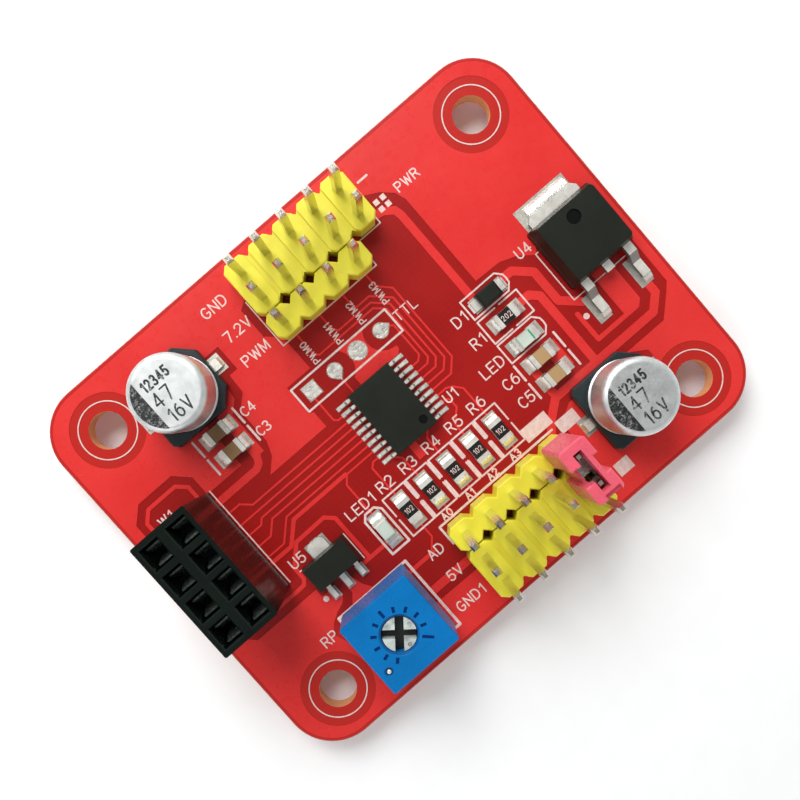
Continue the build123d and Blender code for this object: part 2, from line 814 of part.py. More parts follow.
# The tab and the short middle lead are one strip of the lead frame.
with BuildPart() as main_regulator_tab:
    with BuildSketch(Plane((regulator_x, 0, seat))):
        with Locations((0, regulator_y + 0.6)):
            Rectangle(
                regulator_tab_width,
                regulator_tab_end - regulator_y - 0.6,
                align=(Align.CENTER, Align.MIN),
            )
        chamfer(vertices().group_by(Axis.Y)[-1], 0.45)
        with Locations((0, regulator_y - 1.9)):
            Rectangle(4.4, 2.5, align=(Align.CENTER, Align.MIN))
    extrude(amount=regulator_tab_sheet)
    with BuildSketch(Plane.YZ.offset(regulator_x)):
        with BuildLine():
            Polyline(
                (regulator_y - 1.6, seat + regulator_tab_sheet / 2),
                (regulator_y - 2.2, regulator_lead_z),
                (regulator_low_y - 0.75, regulator_lead_z),
            )
        trace(line_width=regulator_lead_sheet)
    extrude(amount=regulator_lead_width / 2, both=True)
save(main_regulator_tab, "main_regulator_tab")

with BuildPart() as main_regulator_die:
    with Locations((regulator_x, regulator_y + 0.9, seat + regulator_tab_sheet)):
        Box(2.6, 2.2, 0.3, align=low)
save(main_regulator_die, "main_regulator_die")

with BuildPart() as main_regulator_body:
    with BuildSketch(Plane((regulator_x, regulator_y, seat))):
        RectangleRounded(regulator_width, regulator_length, 0.25)
    with BuildSketch(Plane((regulator_x, regulator_y, seat + 1.0))):
        RectangleRounded(regulator_width, regulator_length, 0.3)
    loft()
    with BuildSketch(Plane((regulator_x, regulator_y, seat + 1.0))):
        RectangleRounded(regulator_width, regulator_length, 0.3)
    with BuildSketch(Plane((regulator_x, regulator_y, seat + regulator_thickness))):
        RectangleRounded(
            regulator_width - 2 * regulator_draft,
            regulator_length - 2 * regulator_draft,
            0.35,
        )
    loft()
    with Locations((regulator_x + 0.1, regulator_y + 1.55, seat + regulator_thickness)):
        Cylinder(regulator_dimple_radius, 2 * regulator_dimple_depth, mode=Mode.SUBTRACT)
    add(main_regulator_leads.part, mode=Mode.SUBTRACT)
    add(main_regulator_tab.part, mode=Mode.SUBTRACT)
    add(main_regulator_die.part, mode=Mode.SUBTRACT)
save(main_regulator_body, "main_regulator_body")


# ---------------------------------------------------------------------------
# Small regulator
# ---------------------------------------------------------------------------

small_low_y = small_y - small_length / 2

with BuildPart() as small_regulator_leads:
    with BuildSketch(Plane.XY.offset(seat)):
        with Locations(*[(small_x + side * small_pitch, small_foot_end) for side in (-1, 1)]):
            Rectangle(0.42, small_low_y + 0.6 - small_foot_end, align=(Align.CENTER, Align.MIN))
    extrude(amount=small_sheet)
save(small_regulator_leads, "small_regulator_leads")

with BuildPart() as small_regulator_tab:
    with BuildSketch(Plane.XY.offset(seat)):
        with Locations((small_x, small_foot_end)):
            Rectangle(0.48, small_y - small_foot_end, align=(Align.CENTER, Align.MIN))
        with Locations((small_x, small_y - 0.5)):
            Rectangle(small_tab_width, small_tab_end - small_y + 0.5, align=(Align.CENTER, Align.MIN))
        fillet(vertices().group_by(Axis.Y)[-1], 0.5)
    extrude(amount=small_sheet)
save(small_regulator_tab, "small_regulator_tab")

with BuildPart() as small_regulator_body:
    with BuildSketch(Plane((small_x, small_y, seat))):
        Rectangle(small_width, small_length)
    extrude(amount=0.5)
    with BuildSketch(Plane((small_x, small_y, seat + 0.5))):
        Rectangle(small_width, small_length)
    extrude(amount=small_thickness - 0.5, taper=8)
    add(small_regulator_leads.part, mode=Mode.SUBTRACT)
    add(small_regulator_tab.part, mode=Mode.SUBTRACT)
save(small_regulator_body, "small_regulator_body")


# ---------------------------------------------------------------------------
# Chip resistors, ceramic capacitors, diode and lights
# ---------------------------------------------------------------------------

def make_chip(height):
    """Block of a chip part, and the two metal end caps that wrap around it and stand on the lands."""
    with BuildPart() as core:
        with Locations((0, 0, cap_wall)):
            Box(part_length - 2 * cap_wall, part_width - 2 * cap_wall, height - 2 * cap_wall, align=low)
    with BuildPart() as caps:
        with GridLocations(part_length - cap_length, 1, 2, 1):
            Box(cap_length, part_width, height, align=low)
        add(core.part, mode=Mode.SUBTRACT)
    return core.part, caps.part


resistor_core, resistor_caps = make_chip(resistor_height)
capacitor_core, capacitor_caps = make_chip(capacitor_height)
light_core, light_caps = make_chip(light_base_height)

with BuildPart() as resistor_ceramics:
    with Locations(*resistor_places):
        add(resistor_core)
save(resistor_ceramics, "resistor_ceramics")

with BuildPart() as resistor_terminals:
    with Locations(*resistor_places):
        add(resistor_caps)
save(resistor_terminals, "resistor_terminals")

with BuildPart() as resistor_films:
    with Locations(*[place * Location((0, 0, resistor_height - cap_wall)) for place in resistor_places]):
        Box(part_length - 2 * cap_length, part_width - 2 * cap_wall, film_thickness, align=low)
save(resistor_films, "resistor_films")

with BuildPart() as ceramic_capacitor_bodies:
    with Locations(*capacitor_places):
        add(capacitor_core)
save(ceramic_capacitor_bodies, "ceramic_capacitor_bodies")

with BuildPart() as ceramic_capacitor_terminals:
    with Locations(*capacitor_places):
        add(capacitor_caps)
save(ceramic_capacitor_terminals, "ceramic_capacitor_terminals")

with BuildPart() as diode_terminals:
    with Locations(diode_place):
        with GridLocations(2.3, 1, 2, 1):
            Box(0.9, 0.95, 0.18, align=low)
save(diode_terminals, "diode_terminals")

with BuildPart() as diode_body:
    with Locations(diode_place):
        Box(2.0, 1.4, 1.05, align=low)
    chamfer(diode_body.faces().sort_by(Axis.Z)[-1].edges(), 0.18)
    add(diode_terminals.part, mode=Mode.SUBTRACT)
save(diode_body, "diode_body")


def make_light(name, place):
    """Chip light: plated base plate, end caps and a clear moulded lens."""
    with BuildPart() as base:
        with Locations(place):
            add(light_core)
    save(base, f"{name}_base")
    with BuildPart() as terminals:
        with Locations(place):
            add(light_caps)
    save(terminals, f"{name}_terminals")
    with BuildPart() as lens:
        with BuildSketch(Plane(place * Location((0, 0, light_base_height)))):
            Rectangle(part_length - 2 * cap_length + 0.3, part_width - 0.05)
        extrude(amount=lens_height, taper=8)
    save(lens, f"{name}_lens")


make_light("power_light", power_light_place)
make_light("status_light", status_light_place)


# ---------------------------------------------------------------------------
# Solder fillets at the surface-mounted parts
# ---------------------------------------------------------------------------

def make_fillet(reach, height, width, swell=0.4):
    """Wedge of solder that rises against a face at x = 0 and runs out along +X; over 0.5 it bulges outwards."""
    with BuildPart() as wedge:
        with BuildSketch(Plane.XZ):
            with BuildLine():
                Line((0, 0), (reach, 0))
                ThreePointArc((reach, 0), (reach * swell, height * swell), (0, height))
                Line((0, height), (0, 0))
            make_face()
        extrude(amount=width / 2, both=True)
    return wedge.part


def end_places(place, distance):
    """Locations at both ends of a chip part, facing outwards."""
    return [place * Location((distance, 0, 0)), place * Location((-distance, 0, 0), (0, 0, 180))]


chip_ends = [spot for place in resistor_places for spot in end_places(place, part_length / 2)]
tall_ends = [spot for place in capacitor_places for spot in end_places(place, part_length / 2)]
light_ends = [
    spot for place in (power_light_place, status_light_place) for spot in end_places(place, part_length / 2)
]
lead_toes = [
    Location((x + side * lead_reach, y, seat), (0, 0, 0 if side > 0 else 180))
    for x, y in (input_capacitor, output_capacitor)
    for side in (-1, 1)
]
regulator_toes = [
    Location((regulator_x + side * regulator_lead_pitch, regulator_foot_end, seat), (0, 0, -90))
    for side in (-1, 1)
]
small_toes = [
    Location((small_x + offset * small_pitch, small_foot_end, seat), (0, 0, -90)) for offset in (-1, 0, 1)
]
chip_toes = [
    Location((chip_x + side * chip_span / 2, y, seat), (0, 0, 0 if side > 0 else 180))
    for side in (-1, 1)
    for y in chip_lead_ys
]
tab_toe = Location((regulator_x, regulator_tab_end, seat), (0, 0, 90))

joint_groups = [
    (chip_ends, make_fillet(0.5, 0.42, 1.1, 0.62)),
    (tall_ends, make_fillet(0.5, 0.6, 1.1, 0.6)),
    (light_ends, make_fillet(0.5, 0.3, 1.1, 0.62)),
    (end_places(diode_place, 1.6), make_fillet(0.25, 0.16, 0.9)),
    (lead_toes, make_fillet(0.3, 0.26, 0.85)),
    (regulator_toes, make_fillet(0.6, 0.4, 0.8, 0.6)),
    (small_toes, make_fillet(0.2, 0.3, 0.4)),
    (chip_toes, make_fillet(0.35, 0.13, 0.24)),
    ([tab_toe], make_fillet(0.9, 0.42, 4.2, 0.66)),
]

with BuildPart() as surface_solder_joints:
    for spots, fillet_shape in joint_groups:
        with Locations(*spots):
            add(fillet_shape)
save(surface_solder_joints, "surface_solder_joints")
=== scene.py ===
# A red servo driver board: materials, copper relief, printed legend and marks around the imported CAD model.
import json
import math

import bmesh
import bpy
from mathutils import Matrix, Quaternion, Vector
from mathutils.geometry import delaunay_2d_cdt


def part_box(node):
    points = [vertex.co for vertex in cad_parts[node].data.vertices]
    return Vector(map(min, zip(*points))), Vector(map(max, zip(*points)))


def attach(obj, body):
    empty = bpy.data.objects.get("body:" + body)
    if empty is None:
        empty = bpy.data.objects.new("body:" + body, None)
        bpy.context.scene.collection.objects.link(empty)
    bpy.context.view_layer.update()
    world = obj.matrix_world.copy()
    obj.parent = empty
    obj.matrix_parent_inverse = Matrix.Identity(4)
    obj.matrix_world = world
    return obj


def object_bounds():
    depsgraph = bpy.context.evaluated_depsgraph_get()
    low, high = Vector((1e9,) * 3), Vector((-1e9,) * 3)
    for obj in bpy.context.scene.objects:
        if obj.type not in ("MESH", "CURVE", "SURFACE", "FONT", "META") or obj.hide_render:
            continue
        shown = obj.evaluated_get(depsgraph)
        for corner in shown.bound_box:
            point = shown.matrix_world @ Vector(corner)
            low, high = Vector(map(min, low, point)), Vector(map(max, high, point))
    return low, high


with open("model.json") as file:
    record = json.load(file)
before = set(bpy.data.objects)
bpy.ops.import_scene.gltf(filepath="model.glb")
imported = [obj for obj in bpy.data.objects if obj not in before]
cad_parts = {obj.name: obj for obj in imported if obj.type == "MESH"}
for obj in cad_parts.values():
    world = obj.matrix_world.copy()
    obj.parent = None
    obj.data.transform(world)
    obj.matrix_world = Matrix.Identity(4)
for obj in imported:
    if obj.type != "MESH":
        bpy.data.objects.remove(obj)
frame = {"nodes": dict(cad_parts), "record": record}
cad_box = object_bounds()
nodes = frame["nodes"]

MM = 0.001
BOARD_LOW, BOARD_HIGH = (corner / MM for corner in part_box("circuit_board"))
TOP = BOARD_HIGH.z
BOTTOM = BOARD_LOW.z
# heights above the face that a layer lies on, in millimetres, and how far each layer is sunk into it
FOIL = 0.035
INK = 0.05
THIN_INK = 0.012
RESISTOR_INK = 0.008
SUNK = 0.01


# ---------------------------------------------------------------- places read from the CAD model

def solids(node):
    """Low and high corners, in millimetres, of each separate solid of a CAD node, from left to right."""
    leader = {}

    def find(key):
        while leader.setdefault(key, key) != key:
            leader[key] = leader[leader[key]]
            key = leader[key]
        return key

    mesh = nodes[node].data
    keys = [tuple(round(c / MM, 4) for c in v.co) for v in mesh.vertices]
    for polygon in mesh.polygons:
        first = find(keys[polygon.vertices[0]])
        for index in polygon.vertices[1:]:
            leader[find(keys[index])] = first
    groups = {}
    for key in set(keys):
        groups.setdefault(find(key), []).append(key)
    boxes = [(Vector(map(min, *g)), Vector(map(max, *g))) for g in groups.values()]
    return sorted(boxes, key=lambda b: (round(b[0].x, 1), round(b[0].y, 1)))


def centres(node):
    """The (x, y) middles, in millimetres, of each separate solid of a CAD node."""
    return [((low.x + high.x) / 2, (low.y + high.y) / 2) for low, high in solids(node)]


def middle(node):
    low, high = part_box(node)
    return (low + high) / 2 / MM


# ---------------------------------------------------------------- flat shapes, in millimetres

def disc(x, y, radius, steps=28):
    return [(x + radius * math.cos(math.tau * i / steps), y + radius * math.sin(math.tau * i / steps))
            for i in range(steps)]


def rectangle(x0, y0, x1, y1):
    return [(x0, y0), (x1, y0), (x1, y1), (x0, y1)]


def rounded(x0, y0, x1, y1, radius, steps):
    points = []
    corners = ((x1 - radius, y1 - radius), (x0 + radius, y1 - radius),
               (x0 + radius, y0 + radius), (x1 - radius, y0 + radius))
    for quarter, (cx, cy) in enumerate(corners):
        for i in range(steps + 1):
            a = math.radians(90 * quarter + 90 * i / steps)
            points.append((cx + radius * math.cos(a), cy + radius * math.sin(a)))
    return points


def line(route, width, closed=False):
    """A track or an inked line with round ends: a four-sided run between points and a disc at each point."""
    points = list(route) + ([route[0]] if closed else [])
    end_steps = 14
    shapes = [disc(x, y, width / 2, end_steps) for x, y in route]
    for (x0, y0), (x1, y1) in zip(points, points[1:]):
        length = math.hypot(x1 - x0, y1 - y0)
        nx, ny = -(y1 - y0) / length * width / 2, (x1 - x0) / length * width / 2
        shapes.append([(x0 - nx, y0 - ny), (x1 - nx, y1 - ny), (x1 + nx, y1 + ny), (x0 + nx, y0 + ny)])
    return shapes


def counter_clockwise(points):
    area = sum(x0 * y1 - x1 * y0 for (x0, y0), (x1, y1) in zip(points, points[1:] + points[:1]))
    return points if area > 0 else points[::-1]


def holds(shape, x, y):
    """Whether a shape holds a point, by counting the sides to the right of the point."""
    crossed = False
    for (x0, y0), (x1, y1) in zip(shape, shape[1:] + shape[:1]):
        if (y0 > y) != (y1 > y) and x < x0 + (y - y0) * (x1 - x0) / (y1 - y0):
            crossed = not crossed
    return crossed


def painted(steps):
    """The corners and triangles left after painting the shapes in order: True adds, False takes away."""
    corners, outlines, layers = [], [], []
    for add, shapes in steps:
        for shape in shapes:
            start = len(corners)
            corners += [Vector(p) for p in counter_clockwise(shape)]
            outlines.append(list(range(start, len(corners))))
            layers.append((shape, add))
    inside_outlines, merge_distance = 1, 1e-4
    points, _, triangles, _, _, origins = delaunay_2d_cdt(corners, [], outlines, inside_outlines,
                                                          merge_distance)
    kept = []
    for triangle, over in zip(triangles, origins):
        x, y = sum((points[i] for i in triangle), Vector((0, 0))) / 3
        covers = [layers[i] for i in sorted(over) if holds(layers[i][0], x, y)]
        if covers and covers[-1][1]:
            kept.append(triangle)
    return points, kept


def settle(obj, material, body="board"):
    """Gives a new piece its finish and lets it ride on a CAD body."""
    obj.data.materials.append(material)
    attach(obj, body)
    return obj


def object_from(bm, name):
    mesh = bpy.data.meshes.new(name)
    bm.to_mesh(mesh)
    bm.free()
    obj = bpy.data.objects.new(name, mesh)
    bpy.context.scene.collection.objects.link(obj)
    return obj


def flat_layer(name, steps, low, high, material, body="board"):
    """A thin closed layer between two heights, in millimetres, in the painted shape."""
    corners, triangles = painted(steps)
    bm = bmesh.new()
    used = sorted({i for t in triangles for i in t})
    lower = {i: bm.verts.new((corners[i].x * MM, corners[i].y * MM, low * MM)) for i in used}
    upper = {i: bm.verts.new((corners[i].x * MM, corners[i].y * MM, high * MM)) for i in used}
    sides = set()
    for t in triangles:
        bm.faces.new([upper[i] for i in t])
        bm.faces.new([lower[i] for i in reversed(t)])
        sides.update((a, b) for a, b in zip(t, list(t[1:]) + [t[0]]))
    for a, b in sides:
        if (b, a) not in sides:
            bm.faces.new([lower[a], lower[b], upper[b], upper[a]])
    if high < low:
        bmesh.ops.reverse_faces(bm, faces=bm.faces[:])
    return settle(object_from(bm, name), material, body)


# ---------------------------------------------------------------- single-line lettering

def bow(cx, cy, rx, ry, start, end, steps=8):
    angles = [math.radians(start + (end - start) * i / steps) for i in range(steps + 1)]
    return [(cx + rx * math.cos(a), cy + ry * math.sin(a)) for a in angles]


LETTERS = {
    "A": [[(0, 0), (0.33, 1), (0.66, 0)], [(0.12, 0.34), (0.54, 0.34)]],
    "C": [bow(0.35, 0.5, 0.35, 0.5, 48, 312, 12)],
    "D": [[(0, 0), (0, 1)] + bow(0.28, 0.5, 0.38, 0.5, 90, -90) + [(0, 0)]],
    "E": [[(0.58, 1), (0, 1), (0, 0), (0.58, 0)], [(0, 0.52), (0.5, 0.52)]],
    "G": [bow(0.36, 0.5, 0.36, 0.5, 50, 330, 12) + [(0.68, 0.44), (0.42, 0.44)]],
    "L": [[(0, 1), (0, 0), (0.55, 0)]],
    "M": [[(0, 0), (0, 1), (0.36, 0.15), (0.72, 1), (0.72, 0)]],
    "N": [[(0, 0), (0, 1), (0.64, 0), (0.64, 1)]],
    "P": [[(0, 0), (0, 1)] + bow(0.36, 0.74, 0.26, 0.26, 90, -90) + [(0, 0.48)]],
    "R": [[(0, 0), (0, 1)] + bow(0.36, 0.75, 0.25, 0.25, 90, -90) + [(0, 0.5)],
          [(0.34, 0.5), (0.66, 0)]],
    "T": [[(0, 1), (0.66, 1)], [(0.33, 1), (0.33, 0)]],
    "U": [[(0, 1)] + bow(0.31, 0.32, 0.31, 0.32, 180, 360) + [(0.62, 1)]],
    "V": [[(0, 1), (0.33, 0), (0.66, 1)]],
    "W": [[(0, 1), (0.24, 0), (0.46, 0.9), (0.68, 0), (0.92, 1)]],
    "0": [bow(0.31, 0.5, 0.31, 0.5, 0, 360, 16)],
    "1": [[(0.08, 0.76), (0.34, 1), (0.34, 0)]],
    "2": [bow(0.3, 0.7, 0.29, 0.3, 165, -20) + [(0, 0), (0.62, 0)]],
    "3": [bow(0.28, 0.745, 0.27, 0.255, 150, -90) + bow(0.28, 0.245, 0.32, 0.245, 80, -150)],
    "4": [[(0.64, 0.27), (0, 0.27), (0.46, 1), (0.46, 0)]],
    "5": [[(0.58, 1), (0.1, 1), (0.04, 0.5)] + bow(0.29, 0.32, 0.32, 0.32, 130, -150)],
    "6": [bow(0.5, 0.36, 0.46, 0.62, 100, 180, 5) + bow(0.34, 0.32, 0.3, 0.32, 180, 540, 12)],
    "7": [[(0, 1), (0.62, 1), (0.24, 0)]],
    ".": [[(0.02, 0.02), (0.06, 0.02)]],
}
LETTER_GAP = 0.3


def letter_width(letter):
    return max(x for stroke in LETTERS[letter] for x, y in stroke)


def words(text, x, y, height=1.0, weight=0.17, align="left", turn=0, narrow=1.0):
    """Inked lettering whose foot starts at, is centred on or ends at (x, y), turned by some degrees."""
    gap = LETTER_GAP * height
    widths = [letter_width(letter) * height * narrow for letter in text]
    total = sum(widths) + gap * (len(text) - 1)
    pen = {"left": 0, "centre": -total / 2, "right": -total}[align]
    cosine, sine = math.cos(math.radians(turn)), math.sin(math.radians(turn))
    shapes = []
    for letter, width in zip(text, widths):
        for stroke in LETTERS[letter]:
            run = []
            for u, v in stroke:
                across, up = pen + u * height * narrow, v * height
                run.append((x + across * cosine - up * sine, y + across * sine + up * cosine))
            shapes += line(run, weight)
        pen += width + gap
    return shapes


# ---------------------------------------------------------------- copper on both faces

LEAD_Y = sorted({round(y, 2) for x, y in centres("microcontroller_leads")}, reverse=True)
CHIP = middle("microcontroller_body")
PAD_REACH = 3.2
LEFT_PAD_X = CHIP.x - PAD_REACH
RIGHT_PAD_X = CHIP.x + PAD_REACH
SERIAL = [x for x, y in centres("serial_pads")]
SERIAL_Y = middle("serial_pads").y
SIGNAL = [x for x, y in centres("servo_signal_pins")]
RESISTORS = centres("resistor_ceramics")
ROW = RESISTORS[:-1]
R1 = RESISTORS[-1]
PATTERN = next(m for m in frame["record"]["mounts"] if m["name"] == "mounting_holes")["dims"]
HOLES = [(side_x * PATTERN["spacing_x_mm"] / 2, side_y * PATTERN["spacing_y_mm"] / 2)
         for side_x in (-1, 1) for side_y in (-1, 1)]

# widths of tracks and of printed lines, in millimetres
THIN_TRACK = 0.17
SOCKET_LOOP_TRACK = 0.34
LOOP_TRACK = 0.36
REGULATOR_TRACK = 0.42
SOCKET_SUPPLY_TRACK = 0.65
HEADER_SUPPLY_TRACK = 0.7
SUPPLY_TRACK = 0.75
TEXT = 0.125
FINE_LINE = 0.11
CHIP_LINE = 0.12
BOLD_LINE = 0.15
PAD_LINE = 0.18
HEAVY_LINE = 0.2
TRIMMER_LINE = 0.24


def pour_outline():
    """The edge of the copper pour on either face, just inside the board's edge."""
    inset, corner, steps = 0.34, 3.9, 12
    return rounded(BOARD_LOW.x + inset, BOARD_LOW.y + inset, BOARD_HIGH.x - inset, BOARD_HIGH.y - inset,
                   corner, steps)


def bare_centre():
    """The clearing round the headers, the chip, the socket and the regulators, anticlockwise."""
    return [
        (-17.35, 5.08), (-17.35, 6.97), (-18.6, 8.23), (-22.2, 8.23), (-23.55, 6.97), (-23.55, -5.71),
        (-22.3, -6.92), (-15.85, -6.92), (-15.85, -7.7), (-14.4, -7.79), (-14.4, -8.71), (-14.9, -9.24),
        (-15.8, -9.58), (-16.6, -10.07), (-17.2, -10.84), (-16.4, -13.07), (-14.0, -14.52), (-9.0, -14.52),
        (7.6, -14.71), (9.0, -13.55), (9.0, -9.97), (10.6, -9.05), (11.0, -9.05), (11.0, -14.33),
        (16.5, -14.52), (18.6, -13.07), (18.6, -10.07), (17.0, -9.05), (21.2, -9.05), (22.9, -7.41),
        (23.55, -6.68), (23.55, 2.13), (22.6, 3.29), (17.4, 3.29), (16.6, 2.13), (15.3, 3.15), (13.8, 3.73),
        (11.3, 3.82), (11.3, 12.78), (10.95, 13.75), (10.0, 14.62), (8.9, 15.2), (-4.4, 15.2), (-5.15, 14.71),
        (-5.15, 11.91), (-3.95, 10.84), (-3.95, 7.41), (-6.5, 7.41), (-6.5, 4.6), (-6.15, 4.45),
        (-6.15, 2.86), (-12.35, 2.86), (-11.2, 3.97), (-10.95, 4.55), (-10.7, 5.23), (-10.7, 8.52),
        (-9.5, 9.58), (-9.4, 11.33), (-8.55, 11.33), (-8.55, 13.75), (-13.6, 13.75), (-13.6, 5.08),
    ]


def supply_areas():
    """Copper islands inside the clearing, from the supply input to the two regulators and the capacitors."""
    third = SERIAL[2]
    return [
        [(-12.5, 4.74), (-11.4, 4.74), (-11.4, 8.71), (-10.4, 9.58), (-10.1, 11.62), (-10.1, 13.16),
         (-12.5, 13.16)],
        [(third - 1.65, 3.48), (third + 2.4, 3.48), (third + 2.75, 3.82), (third + 2.75, 4.4),
         (third + 2.4, 4.65), (third + 2.4, 6.97), (third - 1.9, 6.97), (third - 1.9, 4.65),
         (third - 1.65, 4.45)],
        [(19.0, 3.68), (19.0, -6.49), (20.35, -6.82), (20.9, -6.29), (20.9, 3.68)],
        [(-2.05, -2.52), (-1.3, -2.52), (-1.3, -4.4), (-2.05, -4.4)],
        [(-13.75, -8.03), (-12.9, -8.03), (-12.6, -9.1), (-12.0, -10.07), (-14.5, -10.07), (-13.7, -9.1)],
        [(9.75, -4.07), (10.5, -4.07), (10.5, -7.65), (9.75, -7.65)],
        [(11.8, -4.07), (13.1, -4.07), (13.1, -6.78), (11.8, -6.78)],
        [(-8.5, -13.16), (-4.0, -13.16), (-4.0, -13.89), (-8.5, -13.89)],
    ]


def hole_clearings():
    radius, steps = 3.2, 48
    return [disc(x, y, radius, steps) for x, y in HOLES]


def clear_discs():
    """Bare rings round the mounting holes and round the second and fourth serial pads."""
    pad_clearing = 1.7
    around_pads = [disc(SERIAL[index], SERIAL_Y, pad_clearing) for index in (1, 3)]
    return hole_clearings() + around_pads


def wide_tracks():
    """Supply tracks, and the narrower loops round the socket and the small regulator."""
    left_loop = [(-16.6, -6.0), (-21.9, -6.0), (-22.75, -5.18), (-22.75, 6.53), (-21.9, 7.36),
                 (-18.95, 7.36), (-18.15, 6.58), (-18.15, 4.07)]
    shapes = line([(-18.2, 3.97), (-12.95, 3.97), (-12.45, 4.21), (-12.15, 4.79), (-12.15, 5.81)],
                  SOCKET_SUPPLY_TRACK)
    shapes += line(left_loop, SOCKET_LOOP_TRACK)
    shapes += line([(-18.2, -2.81), (-15.0, -2.81), (-13.35, -1.23), (-7.6, -1.23)], LOOP_TRACK)
    shapes += line([(-17.0, -6.0), (-16.35, -5.95), (-16.0, -5.57), (-16.0, -4.36), (-14.45, -2.81),
                    (-11.35, -2.76), (-10.65, -3.44), (-10.65, -7.84)], LOOP_TRACK)
    shapes += line([(-11.9, -7.89), (-8.3, -7.89)], LOOP_TRACK)
    shapes += line([(8.2, 13.46), (9.2, 13.26), (10.0, 12.68), (10.15, 12.0), (10.15, 2.52)],
                   HEADER_SUPPLY_TRACK)
    shapes += line([(13.0, 2.52), (14.1, 2.52), (15.5, 1.21), (15.5, -1.94), (17.0, -3.34)], SUPPLY_TRACK)
    shapes += line([(12.6, 0.05), (13.9, 0.05), (14.6, -0.63), (14.6, -7.94)], SUPPLY_TRACK)
    shapes += line([(7.6, -10.26), (8.6, -9.1), (10.0, -7.99), (21.0, -7.94), (22.2, -6.78), (22.2, -5.32)],
                   SUPPLY_TRACK)
    shapes += line([(15.98, -3.87), (15.98, -6.63), (20.2, -6.63)], REGULATOR_TRACK)
    shapes += line([(-9.5, -11.04), (-6.3, -11.04)], LOOP_TRACK)
    return shapes


def thin_tracks():
    """Signal tracks between the chip, the socket, the serial pads, the servo header and the resistors."""
    y = LEAD_Y
    left, right = LEFT_PAD_X, RIGHT_PAD_X
    routes = [
        [(left, y[2]), (-15.1, y[2]), (-15.9, 2.71), (-18.2, 2.71)],
        [(left, y[3]), (-18.2, y[3])],
        [(left, y[4]), (-15.25, y[4]), (-15.7, 0.21), (-18.2, 0.21)],
        [(left, y[5]), (-14.65, y[5]), (-15.72, -1.02), (-18.2, -1.02)],
        [(left, y[6]), (-13.65, y[6]), (-15.3, -2.23), (-18.2, -2.23)],
        [(left, y[7]), (-7.6, y[7])],
        [(-7.5, -1.31), (-8.1, -1.98), (-8.1, -5.23)],
        [(left, y[8]), (-5.15, y[8]), (-5.55, -2.32), (-5.55, -5.23)],
        [(left, y[9]), (-3.5, -2.86), (-3.05, -3.29), (-3.05, -5.23)],
        [(SERIAL[0] - 0.25, SERIAL_Y), (SERIAL[0] - 0.25, 2.86), (-5.05, y[1]), (left, y[1])],
        [(SERIAL[1], SERIAL_Y), (SERIAL[1], 3.1)],
        [(SERIAL[3], SERIAL_Y), (3.3, SERIAL_Y), (3.68, 5.52), (3.68, 2.32), (3.25, y[2]), (right, y[2])],
        [(SIGNAL[0], 11.13), (SIGNAL[0], 8.13), (-2.65, 7.74), (3.3, 7.74), (4.12, 6.97), (4.12, 1.69),
         (3.72, y[3]), (right, y[3])],
        [(SIGNAL[1], 11.13), (SIGNAL[1], 8.71), (-0.1, 8.23), (3.45, 8.23), (4.62, 7.11), (4.62, 1.26),
         (4.05, y[4]), (right, y[4])],
        [(SIGNAL[2], 11.13), (SIGNAL[2], 9.0), (2.3, 8.71), (3.7, 8.71), (5.15, 7.31), (5.15, 0.77),
         (4.4, y[5]), (right, y[5])],
        [(SIGNAL[3], 11.13), (SIGNAL[3], 9.0), (5.66, 7.94), (5.66, 0.39), (4.65, y[6]), (right, y[6])],
        [(right, y[7]), (3.55, y[7]), (4.05, -1.55), (4.65, -2.27), (4.65, -5.23)],
        [(right, y[8]), (2.85, y[8]), (3.18, -2.23), (3.18, -3.1), (2.15, -4.07), (2.15, -5.23)],
        [(right - 0.4, y[9]), (0.1, -2.9), (-0.42, -3.44), (-0.42, -5.23)],
        [(ROW[0][0] - 0.05, -8.62), (ROW[0][0] - 0.05, -9.97), (-6.5, -11.04)],
    ]
    routes += [[(x, -8.62), (x - 0.05, -10.84)] for x, _ in ROW[1:5]]
    shapes = []
    for route in routes:
        shapes += line(route, THIN_TRACK)
    return shapes


def top_copper(material):
    steps = [
        (True, [pour_outline()]),
        (False, [bare_centre()]),
        (True, supply_areas()),
        (False, clear_discs()),
        (True, wide_tracks() + thin_tracks()),
    ]
    flat_layer("top_copper_relief", steps, TOP - SUNK, TOP + FOIL, material)


